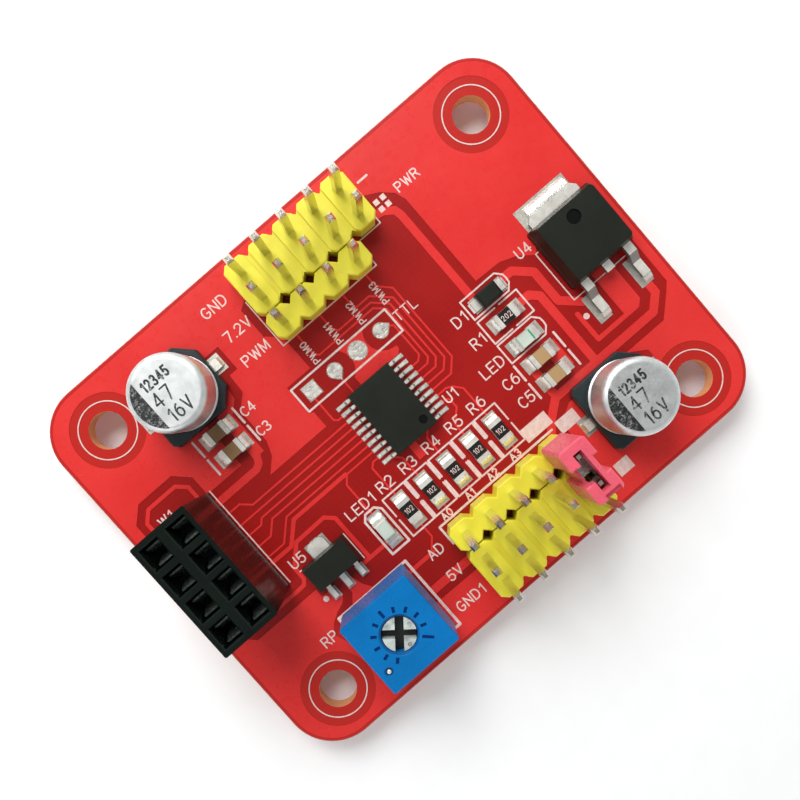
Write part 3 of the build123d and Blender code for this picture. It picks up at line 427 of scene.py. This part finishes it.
def bottom_copper(material):
    """A ground pour with clear rings round the signal and supply pins, and a few supply tracks."""
    ground_y = {round(max(y for x, y in centres("servo_power_pins")), 1),
                round(min(y for x, y in centres("sensor_power_pins")), 1)}
    pins = [p for node in ("servo_power_pins", "servo_signal_pins", "sensor_power_pins", "sensor_signal_pins")
            for p in centres(node)]
    live = [(x, y) for x, y in pins if round(y, 1) not in ground_y]
    live += centres("radio_socket_contacts")[1:] + centres("trimmer_pins")[1:] + centres("serial_pads")[:2]
    rows = {}
    for x, y in centres("servo_power_pins") + centres("sensor_power_pins"):
        if round(y, 1) not in ground_y:
            rows.setdefault(round(y, 1), []).append((x, y))
    jog, via_y = 1.5, -3.0
    supply_width, signal_width = 1.1, 0.3
    supply_clearing, signal_clearing = 2.0, 0.9
    pin_clearing, via_radius = 1.25, 0.35
    signals = centres("sensor_signal_pins")
    supply_routes = [[row[0], row[-1]] for row in rows.values()]
    signal_routes = [[(x, y), (x, bend), (x - jog, bend + jog), (x - jog, via_y)]
                     for (x, y), bend in zip(signals, (-9.4, -9.0, -8.6, -8.2, -7.8))]
    tracks = [shape for route in supply_routes for shape in line(route, supply_width)]
    tracks += [shape for route in signal_routes for shape in line(route, signal_width)]
    clear = [shape for route in signal_routes for shape in line(route, signal_clearing)]
    clear += [shape for route in supply_routes for shape in line(route, supply_clearing)]
    vias = [disc(x - jog, via_y, via_radius) for x, y in signals]
    steps = [
        (True, [pour_outline()]),
        (False, hole_clearings() + [disc(x, y, pin_clearing) for x, y in live] + clear),
        (True, tracks + vias),
    ]
    flat_layer("bottom_copper_relief", steps, BOTTOM + SUNK, BOTTOM - FOIL, material)


# ---------------------------------------------------------------- printed legend

def frame_with_gaps(x0, y0, x1, y1, width, gap_at, gap, upright):
    """A printed rectangle with a gap in the middle of two opposite sides."""
    half = gap / 2
    if upright:
        return (line([(x0, gap_at + half), (x0, y1), (x1, y1), (x1, gap_at + half)], width)
                + line([(x0, gap_at - half), (x0, y0), (x1, y0), (x1, gap_at - half)], width))
    return (line([(gap_at - half, y0), (x0, y0), (x0, y1), (gap_at - half, y1)], width)
            + line([(gap_at + half, y0), (x1, y0), (x1, y1), (gap_at + half, y1)], width))


def chip_frames():
    """Frames round the resistors, the diode and the lights, and bars beside the ceramic capacitors."""
    shapes = []
    for x, y in ROW:
        shapes += frame_with_gaps(x - 1.2, y - 2.0, x + 1.17, y + 2.0, BOLD_LINE, y, 0.42, True)
    for (x0, y), (x1, _) in zip(ROW, ROW[1:]):
        between = (x0 + x1) / 2
        shapes += [rectangle(between - 0.2, y + side * 1.1 - 0.88, between + 0.2, y + side * 1.1 + 0.88)
                   for side in (-1, 1)]
    x, y = R1
    shapes += frame_with_gaps(x - 2.15, y - 1.18, x + 2.15, y + 1.15, BOLD_LINE, x, 0.5, False)
    for name in ("diode_body", "power_light_base"):
        part = middle(name)
        left, right = part.x - 2.15, part.x + 2.15
        low, high = part.y - 0.87, part.y + 1.05
        outline = [(left, low), (right - 0.55, low), (right - 0.05, low + 0.55), (right, (low + high) / 2),
                   (right - 0.05, high - 0.55), (right - 0.55, high), (left, high)]
        shapes += line(outline, BOLD_LINE, closed=True)
    status = middle("status_light_base")
    left, right = status.x - 0.92, status.x + 0.92
    low, high = status.y - 2.05, status.y + 2.0
    shapes += line([(left, low), (right, low), (right, high - 0.5), (right - 0.45, high), (left + 0.45, high),
                    (left, high - 0.5)], HEAVY_LINE, closed=True)
    for x, y in centres("ceramic_capacitor_bodies"):
        reach = 2.2
        for side in (-1, 1):
            shapes += line([(x + side * reach, y - 0.75), (x + side * reach, y + 0.8)], HEAVY_LINE)
    return shapes


def outline_marks():
    """Outlines of the headers, the socket, the trimmer, the chips and the serial pads."""
    shapes = line([(-4.4, 15.0), (-4.4, 10.26), (5.85, 10.26), (5.85, 12.68), (8.4, 12.68), (8.4, 13.94)],
                  FINE_LINE)
    shapes += line([(-4.57, -11.62), (-4.57, -9.83), (8.0, -9.83)], HEAVY_LINE)
    shapes += line([(-17.05, 5.18), (-17.05, -4.99)], FINE_LINE)
    shapes += line([(-15.0, -10.05), (-16.05, -10.05), (-16.05, -10.84)], TRIMMER_LINE)
    shapes += line([(-15.0, -10.05), (-8.62, -10.05), (-8.62, -17.18), (-9.3, -17.18)], TRIMMER_LINE)
    shapes += line([(SERIAL[0] - 1.32, 4.72), (SERIAL[3] + 1.27, 4.72), (SERIAL[3] + 1.27, 7.05),
                    (SERIAL[0] - 1.32, 7.05)], PAD_LINE, closed=True)
    shapes += line([(-2.7, -2.88), (-1.3, -2.88)], CHIP_LINE)
    shapes += line([(16.8, 2.23), (16.55, 2.23), (16.55, -2.79), (22.2, -2.79)], FINE_LINE)
    shapes += line([(-15.85, -4.89), (-14.7, -4.89)], FINE_LINE)
    shapes += line([(-11.9, -4.89), (-11.02, -4.89), (-11.02, -7.55)], FINE_LINE)
    shapes += [disc(16.45, -4.5, 0.27), disc(-15.72, -8.08, 0.25), disc(-1.0, -2.88, 0.1)]
    return shapes


def hole_rings():
    """A fine ring round each mounting hole, as two painting steps."""
    outer, inner, steps = 2.5, 2.4, 72
    return [(True, [disc(x, y, outer, steps) for x, y in HOLES]),
            (False, [disc(x, y, inner, steps) for x, y in HOLES])]


def part_labels():
    """Part references beside the parts."""
    shapes = []
    for number, (x, y) in enumerate(ROW, 2):
        shapes += words(f"R{number}", x - 0.1, -4.49, 0.92, TEXT, "centre")
    for name, y in (("D1", 1.8), ("R1", -0.58), ("LED", -3.0), ("C6", -4.94), ("C5", -6.94)):
        shapes += words(name, 8.72, y, 0.92, TEXT, "right")
    shapes += words("C4", -10.72, 7.88, 0.8, TEXT)
    shapes += words("C3", -10.78, 5.8, 0.8, TEXT)
    shapes += words("LED1", -8.45, -4.54, 0.9, TEXT, "centre")
    shapes += words("U5", -15.4, -4.47, 0.88, TEXT, "centre")
    shapes += words("U4", 15.95, 2.75, 0.85, TEXT, "centre")
    shapes += words("U1", 3.4, -2.43, 0.85, 0.13, "centre")
    shapes += words("RP", -17.75, -11.26, 0.85, TEXT, "centre")
    shapes += words("W1", -21.3, 5.4, 0.8, TEXT, "centre")
    return shapes


def terminal_labels():
    """What each header row, header column and pad group carries, and plain blocks for three short labels."""
    shapes = words("GND", -6.65, 16.01, 0.9, TEXT, "centre")
    shapes += words("7.2V", -6.4, 13.32, 0.88, TEXT, "centre")
    shapes += words("PWM", -6.55, 10.88, 0.88, TEXT, "centre")
    shapes += words("AD", -6.15, -11.55, 0.85, TEXT, "centre")
    shapes += words("5V", -6.1, -14.0, 0.85, TEXT, "centre")
    shapes += words("GND1", -6.5, -16.52, 0.85, TEXT, "centre")
    shapes += words("PWR", 12.4, 13.54, 0.8, TEXT, "centre")
    shapes += words("TTL", 5.25, 5.48, 0.85, 0.1, "centre")
    for column, x in enumerate(SIGNAL):
        shapes += words(f"PWM{column}", x + 0.12, 7.37, 0.56, 0.1, turn=90, narrow=0.95)
        shapes += words(f"A{column}", ROW[column + 1][0] - 0.35, -9.67, 0.6, 0.12, "centre")
    shapes += line([(9.15, 16.39), (10.1, 16.39)], HEAVY_LINE)
    for x in (9.0, 9.72):
        shapes += [rectangle(x, 13.22, x + 0.47, 13.69), rectangle(x, 13.92, x + 0.47, 14.39)]
    shapes += [rectangle(5.8, -9.41, 8.5, -8.13), rectangle(8.5, -10.74, 10.5, -9.53),
               rectangle(9.9, -16.79, 11.4, -15.58)]
    return shapes


def top_legend(material):
    steps = hole_rings() + [(True, chip_frames() + outline_marks() + part_labels() + terminal_labels())]
    flat_layer("printed_legend", steps, TOP - SUNK, TOP + INK, material)


# ---------------------------------------------------------------- marks on the parts

def can_marks(can, material):
    """The dark sector and the value figures on top of an aluminium can."""
    low, high = (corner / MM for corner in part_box(can))
    x, y = (low.x + high.x) / 2, (low.y + high.y) / 2
    radius, chord_x, steps = 2.72, -1.55, 24
    edge = math.degrees(math.acos(chord_x / radius))
    sector = [bow(x, y, radius, radius, edge, 360 - edge, steps)]
    shapes = words("12345", x - 1.15, y + 0.95, 0.78, 0.17, narrow=0.66)
    shapes += words("47", x - 1.15, y - 0.62, 1.15, 0.14, narrow=0.85)
    shapes += words("16V", x - 0.95, y - 2.15, 1.05, 0.15, narrow=0.8)
    name = can.replace("can", "marks")
    flat_layer(name, [(True, sector + shapes)], high.z - SUNK, high.z + THIN_INK, material)


def resistor_marks(material):
    """A three-figure value code on each resistor."""
    shapes = []
    for x, y in ROW:
        shapes += words("102", x, y - 0.22, 0.42, 0.055, "centre", narrow=0.8)
    x, y = R1
    shapes += words("202", x, y - 0.22, 0.44, 0.06, "centre", narrow=0.8)
    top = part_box("resistor_films")[1].z / MM
    flat_layer("resistor_value_marks", [(True, shapes)], top - SUNK / 2, top + RESISTOR_INK, material)


def mould_marks(material):
    """The glossy floors of the round mould marks in the microcontroller and the main regulator."""
    chip_low, chip_high = (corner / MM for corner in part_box("microcontroller_body"))
    regulator_low, regulator_high = (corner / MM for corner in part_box("main_regulator_body"))
    regulator = (regulator_low + regulator_high) / 2
    for name, x, y, radius, floor in (
        ("microcontroller_mould_mark", chip_high.x - 0.84, chip_low.y + 0.98, 0.38, chip_high.z - 0.1),
        ("main_regulator_mould_mark", regulator.x + 0.1, regulator.y + 1.55, 0.62, regulator_high.z - 0.2),
    ):
        shape = disc(x, y, radius - SUNK)
        flat_layer(name, [(True, [shape])], floor - SUNK, floor + THIN_INK, material)


def light_mark(material):
    """The green bar that marks one end of the power light."""
    low, high = (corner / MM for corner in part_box("power_light_lens"))
    bar = rectangle(high.x - 0.26, low.y + 0.12, high.x - 0.13, high.y - 0.12)
    flat_layer("power_light_mark", [(True, [bar])], high.z - SUNK, high.z + THIN_INK, material)


# ---------------------------------------------------------------- materials

def shader(name, color, roughness, metallic=0.0, **sockets):
    """A new material with its numbers set on the shader's own sockets."""
    material = bpy.data.materials.new(name)
    material.use_nodes = True
    bsdf = material.node_tree.nodes["Principled BSDF"]
    bsdf.inputs["Base Color"].default_value = (*color, 1)
    bsdf.inputs["Roughness"].default_value = roughness
    bsdf.inputs["Metallic"].default_value = metallic
    for socket, value in sockets.items():
        bsdf.inputs[socket.replace("_", " ")].default_value = value
    return material


def node(material, kind, **settings):
    made = material.node_tree.nodes.new(kind)
    for key, value in settings.items():
        setattr(made, key, value)
    return made


def link(material, a, b):
    material.node_tree.links.new(a, b)


def millimetres(material, stretch=(1, 1, 1)):
    """Object coordinates in millimetres, stretched along the axes."""
    coordinates = node(material, "ShaderNodeTexCoord")
    mapping = node(material, "ShaderNodeMapping")
    mapping.inputs["Scale"].default_value = [s / MM for s in stretch]
    link(material, coordinates.outputs["Object"], mapping.inputs["Vector"])
    return mapping.outputs["Vector"]


def noise(material, vector, scale, detail=3.0, rough=0.5):
    made = node(material, "ShaderNodeTexNoise")
    made.inputs["Scale"].default_value = scale
    made.inputs["Detail"].default_value = detail
    made.inputs["Roughness"].default_value = rough
    link(material, vector, made.inputs["Vector"])
    return made.outputs["Fac"]


def spread(material, value, low, high, from_low=0.3, from_high=0.7):
    """A value mapped so that from_low gives low and from_high gives high. Noise spans about 0.3 to 0.7."""
    made = node(material, "ShaderNodeMapRange")
    made.inputs["From Min"].default_value = from_low
    made.inputs["From Max"].default_value = from_high
    made.inputs["To Min"].default_value = low
    made.inputs["To Max"].default_value = high
    link(material, value, made.inputs["Value"])
    return made.outputs["Result"]


def blend(material, factor, first, second):
    """A colour between two colours, each a colour or a socket."""
    made = node(material, "ShaderNodeMix", data_type="RGBA")
    for socket, value in (("A", first), ("B", second)):
        target = [i for i in made.inputs if i.name == socket and i.type == "RGBA"][0]
        if isinstance(value, bpy.types.NodeSocket):
            link(material, value, target)
        else:
            target.default_value = (*value, 1)
    link(material, factor, made.inputs["Factor"])
    return [o for o in made.outputs if o.type == "RGBA"][0]


def combined(material, operation, first, second):
    """One value from two, such as their product or the larger one."""
    made = node(material, "ShaderNodeMath", operation=operation)
    link(material, first, made.inputs[0])
    link(material, second, made.inputs[1])
    return made.outputs["Value"]


def axis_value(material, axis, source="Object"):
    """One coordinate of the place, in metres, or with source "Normal" of the surface's direction."""
    axes = node(material, "ShaderNodeSeparateXYZ")
    if source == "Normal":
        where = node(material, "ShaderNodeNewGeometry").outputs["Normal"]
    else:
        where = node(material, "ShaderNodeTexCoord").outputs["Object"]
    link(material, where, axes.inputs["Vector"])
    return axes.outputs[axis]


def size_of(material, value):
    made = node(material, "ShaderNodeMath", operation="ABSOLUTE")
    link(material, value, made.inputs[0])
    return made.outputs["Value"]


def base_colour(material):
    """The socket that feeds the shader's colour so far."""
    return material.node_tree.nodes["Principled BSDF"].inputs["Base Color"].links[0].from_socket


def colour_from(material, socket):
    link(material, socket, material.node_tree.nodes["Principled BSDF"].inputs["Base Color"])


def roughness_from(material, socket):
    link(material, socket, material.node_tree.nodes["Principled BSDF"].inputs["Roughness"])


def bump_from(material, height, depth_mm):
    bump = node(material, "ShaderNodeBump")
    bump.inputs["Distance"].default_value = depth_mm * MM
    link(material, height, bump.inputs["Height"])
    link(material, bump.outputs["Normal"], material.node_tree.nodes["Principled BSDF"].inputs["Normal"])


def scaled(color, factor):
    return tuple(min(1.0, c * factor) for c in color)


def plastic(name, color, roughness, grain=6.0, depth=0.006, variation=0.12, **sockets):
    """Moulded plastic: slow colour drift, fine moulded grain and uneven gloss."""
    material = shader(name, color, roughness, **sockets)
    where = millimetres(material)
    drift = spread(material, noise(material, where, 0.35, 4), 0, 1)
    colour_from(material, blend(material, drift, scaled(color, 1 - variation), scaled(color, 1 + variation)))
    fine = noise(material, where, grain, 6, 0.6)
    roughness_from(material, spread(material, fine, max(0.05, roughness - 0.08), roughness + 0.1))
    bump_from(material, fine, depth)
    return material


def metal(name, color, roughness, grain=3.0, depth=0.006, stretch=(1, 1, 1), dull=0.2, matte=0.0):
    """Plated metal: dull and bright patches and small pits. Matte plating scatters more light."""
    material = shader(name, color, roughness, 1.0 - matte)
    where = millimetres(material, stretch)
    patches = noise(material, where, 0.9, 5)
    mixed = spread(material, patches, 0, 1)
    colour_from(material, blend(material, mixed, scaled(color, 0.78), scaled(color, 1.08)))
    fine = noise(material, where, grain, 6, 0.65)
    roughness_from(material, spread(material, fine, roughness, roughness + dull))
    bump_from(material, fine, depth)
    return material


def mask_over_copper():
    """Glossy red solder mask over the copper, with slow tone changes, a fine skin and a few pale specks."""
    material = shader("mask_over_copper", (0.66, 0.03, 0.028), 0.3, IOR=1.5, Specular_IOR_Level=0.25)
    where = millimetres(material)
    drift = spread(material, noise(material, where, 0.12, 4), 0, 1)
    tone = blend(material, drift, (0.63, 0.024, 0.022), (0.70, 0.036, 0.032))
    speck = node(material, "ShaderNodeTexVoronoi")
    speck.inputs["Scale"].default_value = 0.55
    link(material, where, speck.inputs["Vector"])
    spot = spread(material, speck.outputs["Distance"], 0.3, 0, 0.03, 0.05)
    colour_from(material, blend(material, spot, tone, (0.68, 0.12, 0.10)))
    roughness_from(material, spread(material, noise(material, where, 1.4, 5), 0.24, 0.36))
    bump_from(material, noise(material, where, 2.2, 5, 0.6), 0.01)
    return material


def woven(material, where):
    """The glass cloth: two sets of threads, 0.45 mm apart, crossing."""
    waves = []
    for direction in ("X", "Y"):
        wave = node(material, "ShaderNodeTexWave", bands_direction=direction)
        wave.inputs["Scale"].default_value = 0.7
        wave.inputs["Distortion"].default_value = 0.6
        link(material, where, wave.inputs["Vector"])
        waves.append(wave.outputs["Fac"])
    return combined(material, "MULTIPLY", *waves)


def distance_out(material, axis, low, high):
    """Nought near the middle of the board and one far out along an axis, from low to high in millimetres."""
    return spread(material, size_of(material, axis_value(material, axis)), 0, 1, low * MM, high * MM)


def painted_light_near_holes_or_edge(material):
    """One in the board's corners, round the mounting holes, and along its edges, where painted light makes
    the bare laminate lighter, standing for less shade than among the parts.
    """
    corners = combined(material, "MULTIPLY", distance_out(material, "X", 15.0, 16.8),
                       distance_out(material, "Y", 9.5, 11.3))
    edges = combined(material, "MAXIMUM", distance_out(material, "X", 24.0, 24.2),
                     distance_out(material, "Y", 18.1, 18.3))
    return combined(material, "MAXIMUM", corners, edges)


def board_material():
    """Dark red mask over bare laminate on the faces, tan glass-epoxy on the cut edges and in the holes."""
    material = shader("board_laminate", (0.3, 0.012, 0.01), 0.28, IOR=1.5, Specular_IOR_Level=0.25)
    where = millimetres(material)
    cloth = woven(material, where)
    drift = spread(material, noise(material, where, 0.12, 4), 0, 1)
    faces = blend(material, drift, (0.27, 0.005, 0.004), (0.35, 0.010, 0.008))
    faces = blend(material, spread(material, cloth, 0, 0.15, 0.0, 1.0), faces, (0.40, 0.014, 0.012))
    # painted light: the laminate is lighter in the corners, round the holes and along the edges, away from
    # the shade of the parts
    faces = blend(material, painted_light_near_holes_or_edge(material), faces, (0.45, 0.018, 0.013))
    fibres = noise(material, millimetres(material, (0.6, 0.6, 9)), 1.6, 5)
    cut = blend(material, spread(material, fibres, 0, 1), (0.60, 0.23, 0.10), (0.82, 0.44, 0.21))
    face_on = spread(material, size_of(material, axis_value(material, "Z", "Normal")), 0, 1, 0.45, 0.6)
    colour_from(material, blend(material, face_on, cut, faces))
    roughness_from(material, spread(material, face_on, 0.7, 0.27, 0, 1))
    bump_from(material, noise(material, where, 2.2, 5, 0.6), 0.01)
    return material


def legend_material():
    """Screen-printed ink: warm white, thin enough for red to tint it in patches."""
    material = shader("legend_ink", (0.9, 0.72, 0.68), 0.55)
    where = millimetres(material)
    patches = spread(material, noise(material, where, 2.4, 6, 0.7), 0, 1)
    colour_from(material, blend(material, patches, (0.66, 0.40, 0.36), (0.78, 0.66, 0.63)))
    bump_from(material, noise(material, where, 9, 4), 0.004)
    return material


def marking_material():
    """Black print, worn through in specks."""
    material = shader("marking_ink", (0.02, 0.02, 0.02), 0.5)
    where = millimetres(material)
    patches = spread(material, noise(material, where, 3.2, 6, 0.85), 0, 1, 0.52, 0.62)
    colour_from(material, blend(material, patches, (0.006, 0.007, 0.007), (0.34, 0.35, 0.34)))
    bump_from(material, noise(material, where, 9, 4), 0.004)
    return material


def glass_resin():
    """Clear, slightly milky moulded resin over a light."""
    material = plastic("light_lens", (0.78, 0.88, 0.77), 0.16, grain=2.2, depth=0.03, variation=0.16)
    bsdf = material.node_tree.nodes["Principled BSDF"]
    bsdf.inputs["Transmission Weight"].default_value = 0.35
    bsdf.inputs["IOR"].default_value = 1.5
    return material


def lead_material(color):
    """Bright tin on the flats of the leads, and painted shade that darkens the slopes where they bend down.
    """
    material = metal("lead_tin", color, 0.24, grain=2.6, depth=0.01, matte=0.42)
    base = base_colour(material)
    # painted shade: the sloping parts of the leads are darkened because of the direction they face
    flat = spread(material, axis_value(material, "Z", "Normal"), 0, 1, 0.7, 0.95)
    colour_from(material, blend(material, flat, scaled(color, 0.2), base))
    return material


def sunken(material, low, high):
    """One on upward faces below a height that runs from low to high, in millimetres, and nought elsewhere."""
    below = spread(material, axis_value(material, "Z"), 1, 0, low * MM, high * MM)
    upward = spread(material, axis_value(material, "Z", "Normal"), 0, 1, 0.6, 0.8)
    return combined(material, "MULTIPLY", below, upward)


def trimmer_material():
    """Bright blue moulding, darker at the bottom of the engraved scale."""
    material = plastic("trimmer_plastic", (0.002, 0.15, 0.42), 0.3, grain=5.0, depth=0.006, variation=0.08,
                       Subsurface_Weight=0.1, Subsurface_Scale=0.0005, Specular_IOR_Level=0.15)
    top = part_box("trimmer_housing")[1].z / MM
    base = base_colour(material)
    scale = sunken(material, top - 0.09, top - 0.05)
    colour_from(material, blend(material, scale, base, (0.001, 0.035, 0.16)))
    return material


def rotor_material():
    """Pale grey moulding with dark patches of painted reflection, and almost black at the bottom of the
    screwdriver slot, a painted shade.
    """
    material = plastic("rotor_plastic", (0.52, 0.56, 0.52), 0.4, grain=4.0, depth=0.008, variation=0.12)
    where = millimetres(material)
    base = base_colour(material)
    # painted reflection: dark patches on the rotor's faces
    painted_reflection_patches = spread(material, noise(material, where, 1.1, 5, 0.6), 0, 0.8, 0.45, 0.65)
    with_painted_reflection = blend(material, painted_reflection_patches, base, (0.16, 0.20, 0.21))
    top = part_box("trimmer_rotor")[1].z / MM
    # painted shade: the recessed floor of the screwdriver slot is painted almost black
    slot = sunken(material, top - 0.3, top - 0.12)
    colour_from(material, blend(material, slot, with_painted_reflection, (0.006, 0.007, 0.007)))
    return material


def ceramic_material():
    """Fired ceramic: dark brown on the capacitors at negative X, tan on those at positive X."""
    material = plastic("capacitor_ceramic", (0.22, 0.12, 0.045), 0.4, grain=4.0, depth=0.01, variation=0.2)
    base = base_colour(material)
    right = spread(material, axis_value(material, "X"), 0, 1, -MM, MM)
    colour_from(material, blend(material, right, base, (0.42, 0.27, 0.12)))
    return material


def make_materials():
    """One Blender material for each of the record's material slots."""
    return {
        "board_laminate": board_material(),
        "mask_over_copper": mask_over_copper(),
        "legend_ink": legend_material(),
        "marking_ink": marking_material(),
        "plated_copper": metal("plated_copper", (0.85, 0.72, 0.5), 0.3),
        "tinned_land": metal("tinned_land", (0.62, 0.60, 0.53), 0.38, grain=2.5, depth=0.02),
        "solder": metal("solder", (0.88, 0.85, 0.77), 0.2, grain=1.8, depth=0.06, matte=0.25),
        "yellow_plastic": plastic("yellow_plastic", (0.76, 0.68, 0.04), 0.34,
                                  grain=5.0, depth=0.006, variation=0.07,
                                  Subsurface_Weight=0.12, Subsurface_Scale=0.0006),
        "pin_metal": metal("pin_metal", (0.80, 0.77, 0.66), 0.16,
                           grain=4.0, depth=0.006, stretch=(1, 1, 0.2), dull=0.12),
        "jumper_plastic": plastic("jumper_plastic", (0.74, 0.10, 0.15), 0.3,
                                  grain=4.0, depth=0.006, variation=0.08,
                                  Subsurface_Weight=0.15, Subsurface_Scale=0.0005),
        "contact_metal": metal("contact_metal", (0.42, 0.49, 0.46), 0.18, matte=0.05),
        "socket_plastic": plastic("socket_plastic", (0.004, 0.0075, 0.0055), 0.2,
                                  grain=4.0, depth=0.002, variation=0.2, Specular_IOR_Level=0.2),
        "capacitor_base_plastic": plastic("capacitor_base_plastic", (0.012, 0.021, 0.024), 0.4,
                                          grain=6.0, depth=0.008, variation=0.3, Specular_IOR_Level=0.4),
        "capacitor_aluminium": metal("capacitor_aluminium", (0.74, 0.765, 0.75), 0.42,
                                     grain=5.0, depth=0.003, stretch=(1, 1, 0.25), dull=0.12),
        "seal_rubber": plastic("seal_rubber", (0.02, 0.02, 0.02), 0.6),
        "winding_paper": plastic("winding_paper", (0.6, 0.5, 0.36), 0.8),
        "lead_tin": lead_material((0.93, 0.90, 0.81)),
        "trimmer_plastic": trimmer_material(),
        "rotor_plastic": rotor_material(),
        "alumina": plastic("alumina", (0.82, 0.80, 0.74), 0.6),
        "sealant_epoxy": plastic("sealant_epoxy", (0.35, 0.24, 0.1), 0.3),
        "chip_epoxy": plastic("chip_epoxy", (0.006, 0.0085, 0.004), 0.42,
                              grain=14.0, depth=0.010, variation=0.3, Specular_IOR_Level=0.3),
        "silicon": metal("silicon", (0.35, 0.36, 0.4), 0.1),
        "light_base_plastic": plastic("light_base_plastic", (0.62, 0.66, 0.6), 0.4),
        "light_lens": glass_resin(),
        "resistor_glaze": plastic("resistor_glaze", (0.006, 0.008, 0.007), 0.3,
                                  grain=4.0, depth=0.01, variation=0.3),
        "capacitor_ceramic": ceramic_material(),
    }


def dress_cad_nodes(materials):
    for part in frame["record"]["subparts"]:
        data = nodes[part["node"]].data
        data.materials.clear()
        data.materials.append(materials[part["material_slot"]])


# ---------------------------------------------------------------- camera, floor and light

def make_floor():
    """A plain pale sheet just under the lowest pin."""
    bm = bmesh.new()
    half_side = 1.5
    gap = 0.00002
    bmesh.ops.create_grid(bm, x_segments=1, y_segments=1, size=half_side)
    floor = object_from(bm, "floor")
    floor.location.z = cad_box[0].z - gap
    paper = plastic("floor_paper", (0.93, 0.93, 0.925), 0.8, grain=0.8, depth=0.002, variation=0.01)
    floor.data.materials.append(paper)


def make_camera():
    """Above the board, looking almost straight down, with the long side turned up to the right."""
    data = bpy.data.cameras.new("camera")
    data.sensor_width = 36
    data.lens = 36.64
    data.shift_x = -0.0038
    data.shift_y = 0.0372
    data.clip_start = 0.001
    data.clip_end = 10
    camera = bpy.data.objects.new("camera", data)
    camera.location = (-0.00164, 0.00152, 0.06994)
    turn = Vector((-0.0424, -0.0184, -0.716))
    camera.rotation_mode = "QUATERNION"
    camera.rotation_quaternion = Quaternion(turn.normalized(), turn.length)
    bpy.context.scene.collection.objects.link(camera)
    bpy.context.scene.camera = camera


def area_light(name, place, size, power):
    """A square lamp aimed at the middle of the board."""
    data = bpy.data.lights.new(name, "AREA")
    data.shape = "RECTANGLE"
    data.size = data.size_y = size
    data.energy = power
    light = bpy.data.objects.new(name, data)
    light.location = place
    light.rotation_mode = "QUATERNION"
    light.rotation_quaternion = (-Vector(place)).to_track_quat("-Z", "Y")
    bpy.context.scene.collection.objects.link(light)


def make_world():
    """A soft studio dome: dimmer overhead than towards the horizon."""
    world = bpy.data.worlds.new("studio")
    world.use_nodes = True
    tree = world.node_tree
    direction = tree.nodes.new("ShaderNodeTexCoord")
    axes = tree.nodes.new("ShaderNodeSeparateXYZ")
    fade = tree.nodes.new("ShaderNodeMapRange")
    fade.inputs["From Min"].default_value = 0.6
    fade.inputs["From Max"].default_value = 0.86
    horizon, overhead = 0.75, 0.28
    fade.inputs["To Min"].default_value = horizon
    fade.inputs["To Max"].default_value = overhead
    tree.links.new(direction.outputs["Generated"], axes.inputs["Vector"])
    tree.links.new(axes.outputs["Z"], fade.inputs["Value"])
    tree.links.new(fade.outputs["Result"], tree.nodes["Background"].inputs["Strength"])
    tree.nodes["Background"].inputs["Color"].default_value = (0.97, 0.98, 1.0, 1)
    bpy.context.scene.world = world


def make_light():
    """A near window that lights the servo header's side more, and a weak fill from the other side."""
    make_world()
    area_light("window", place=(0.024, 0.144, 0.16), size=0.13, power=0.455)
    area_light("fill", place=(-0.35, -0.2, 0.35), size=0.3, power=0.45)
    bpy.context.scene.view_settings.view_transform = "Standard"


# ---------------------------------------------------------------- the scene

materials = make_materials()
dress_cad_nodes(materials)
top_copper(materials["mask_over_copper"])
bottom_copper(materials["mask_over_copper"])
top_legend(materials["legend_ink"])
for can in ("input_capacitor_can", "output_capacitor_can"):
    can_marks(can, materials["marking_ink"])
resistor_marks(materials["legend_ink"])
mould_marks(plastic("mould_gloss", (0.002, 0.003, 0.003), 0.12, grain=6.0, depth=0.002, variation=0.2,
                    Specular_IOR_Level=0.3))
light_mark(plastic("green_ink", (0.01, 0.30, 0.13), 0.4, grain=6.0, depth=0.004, variation=0.2))
make_floor()
make_camera()
make_light()
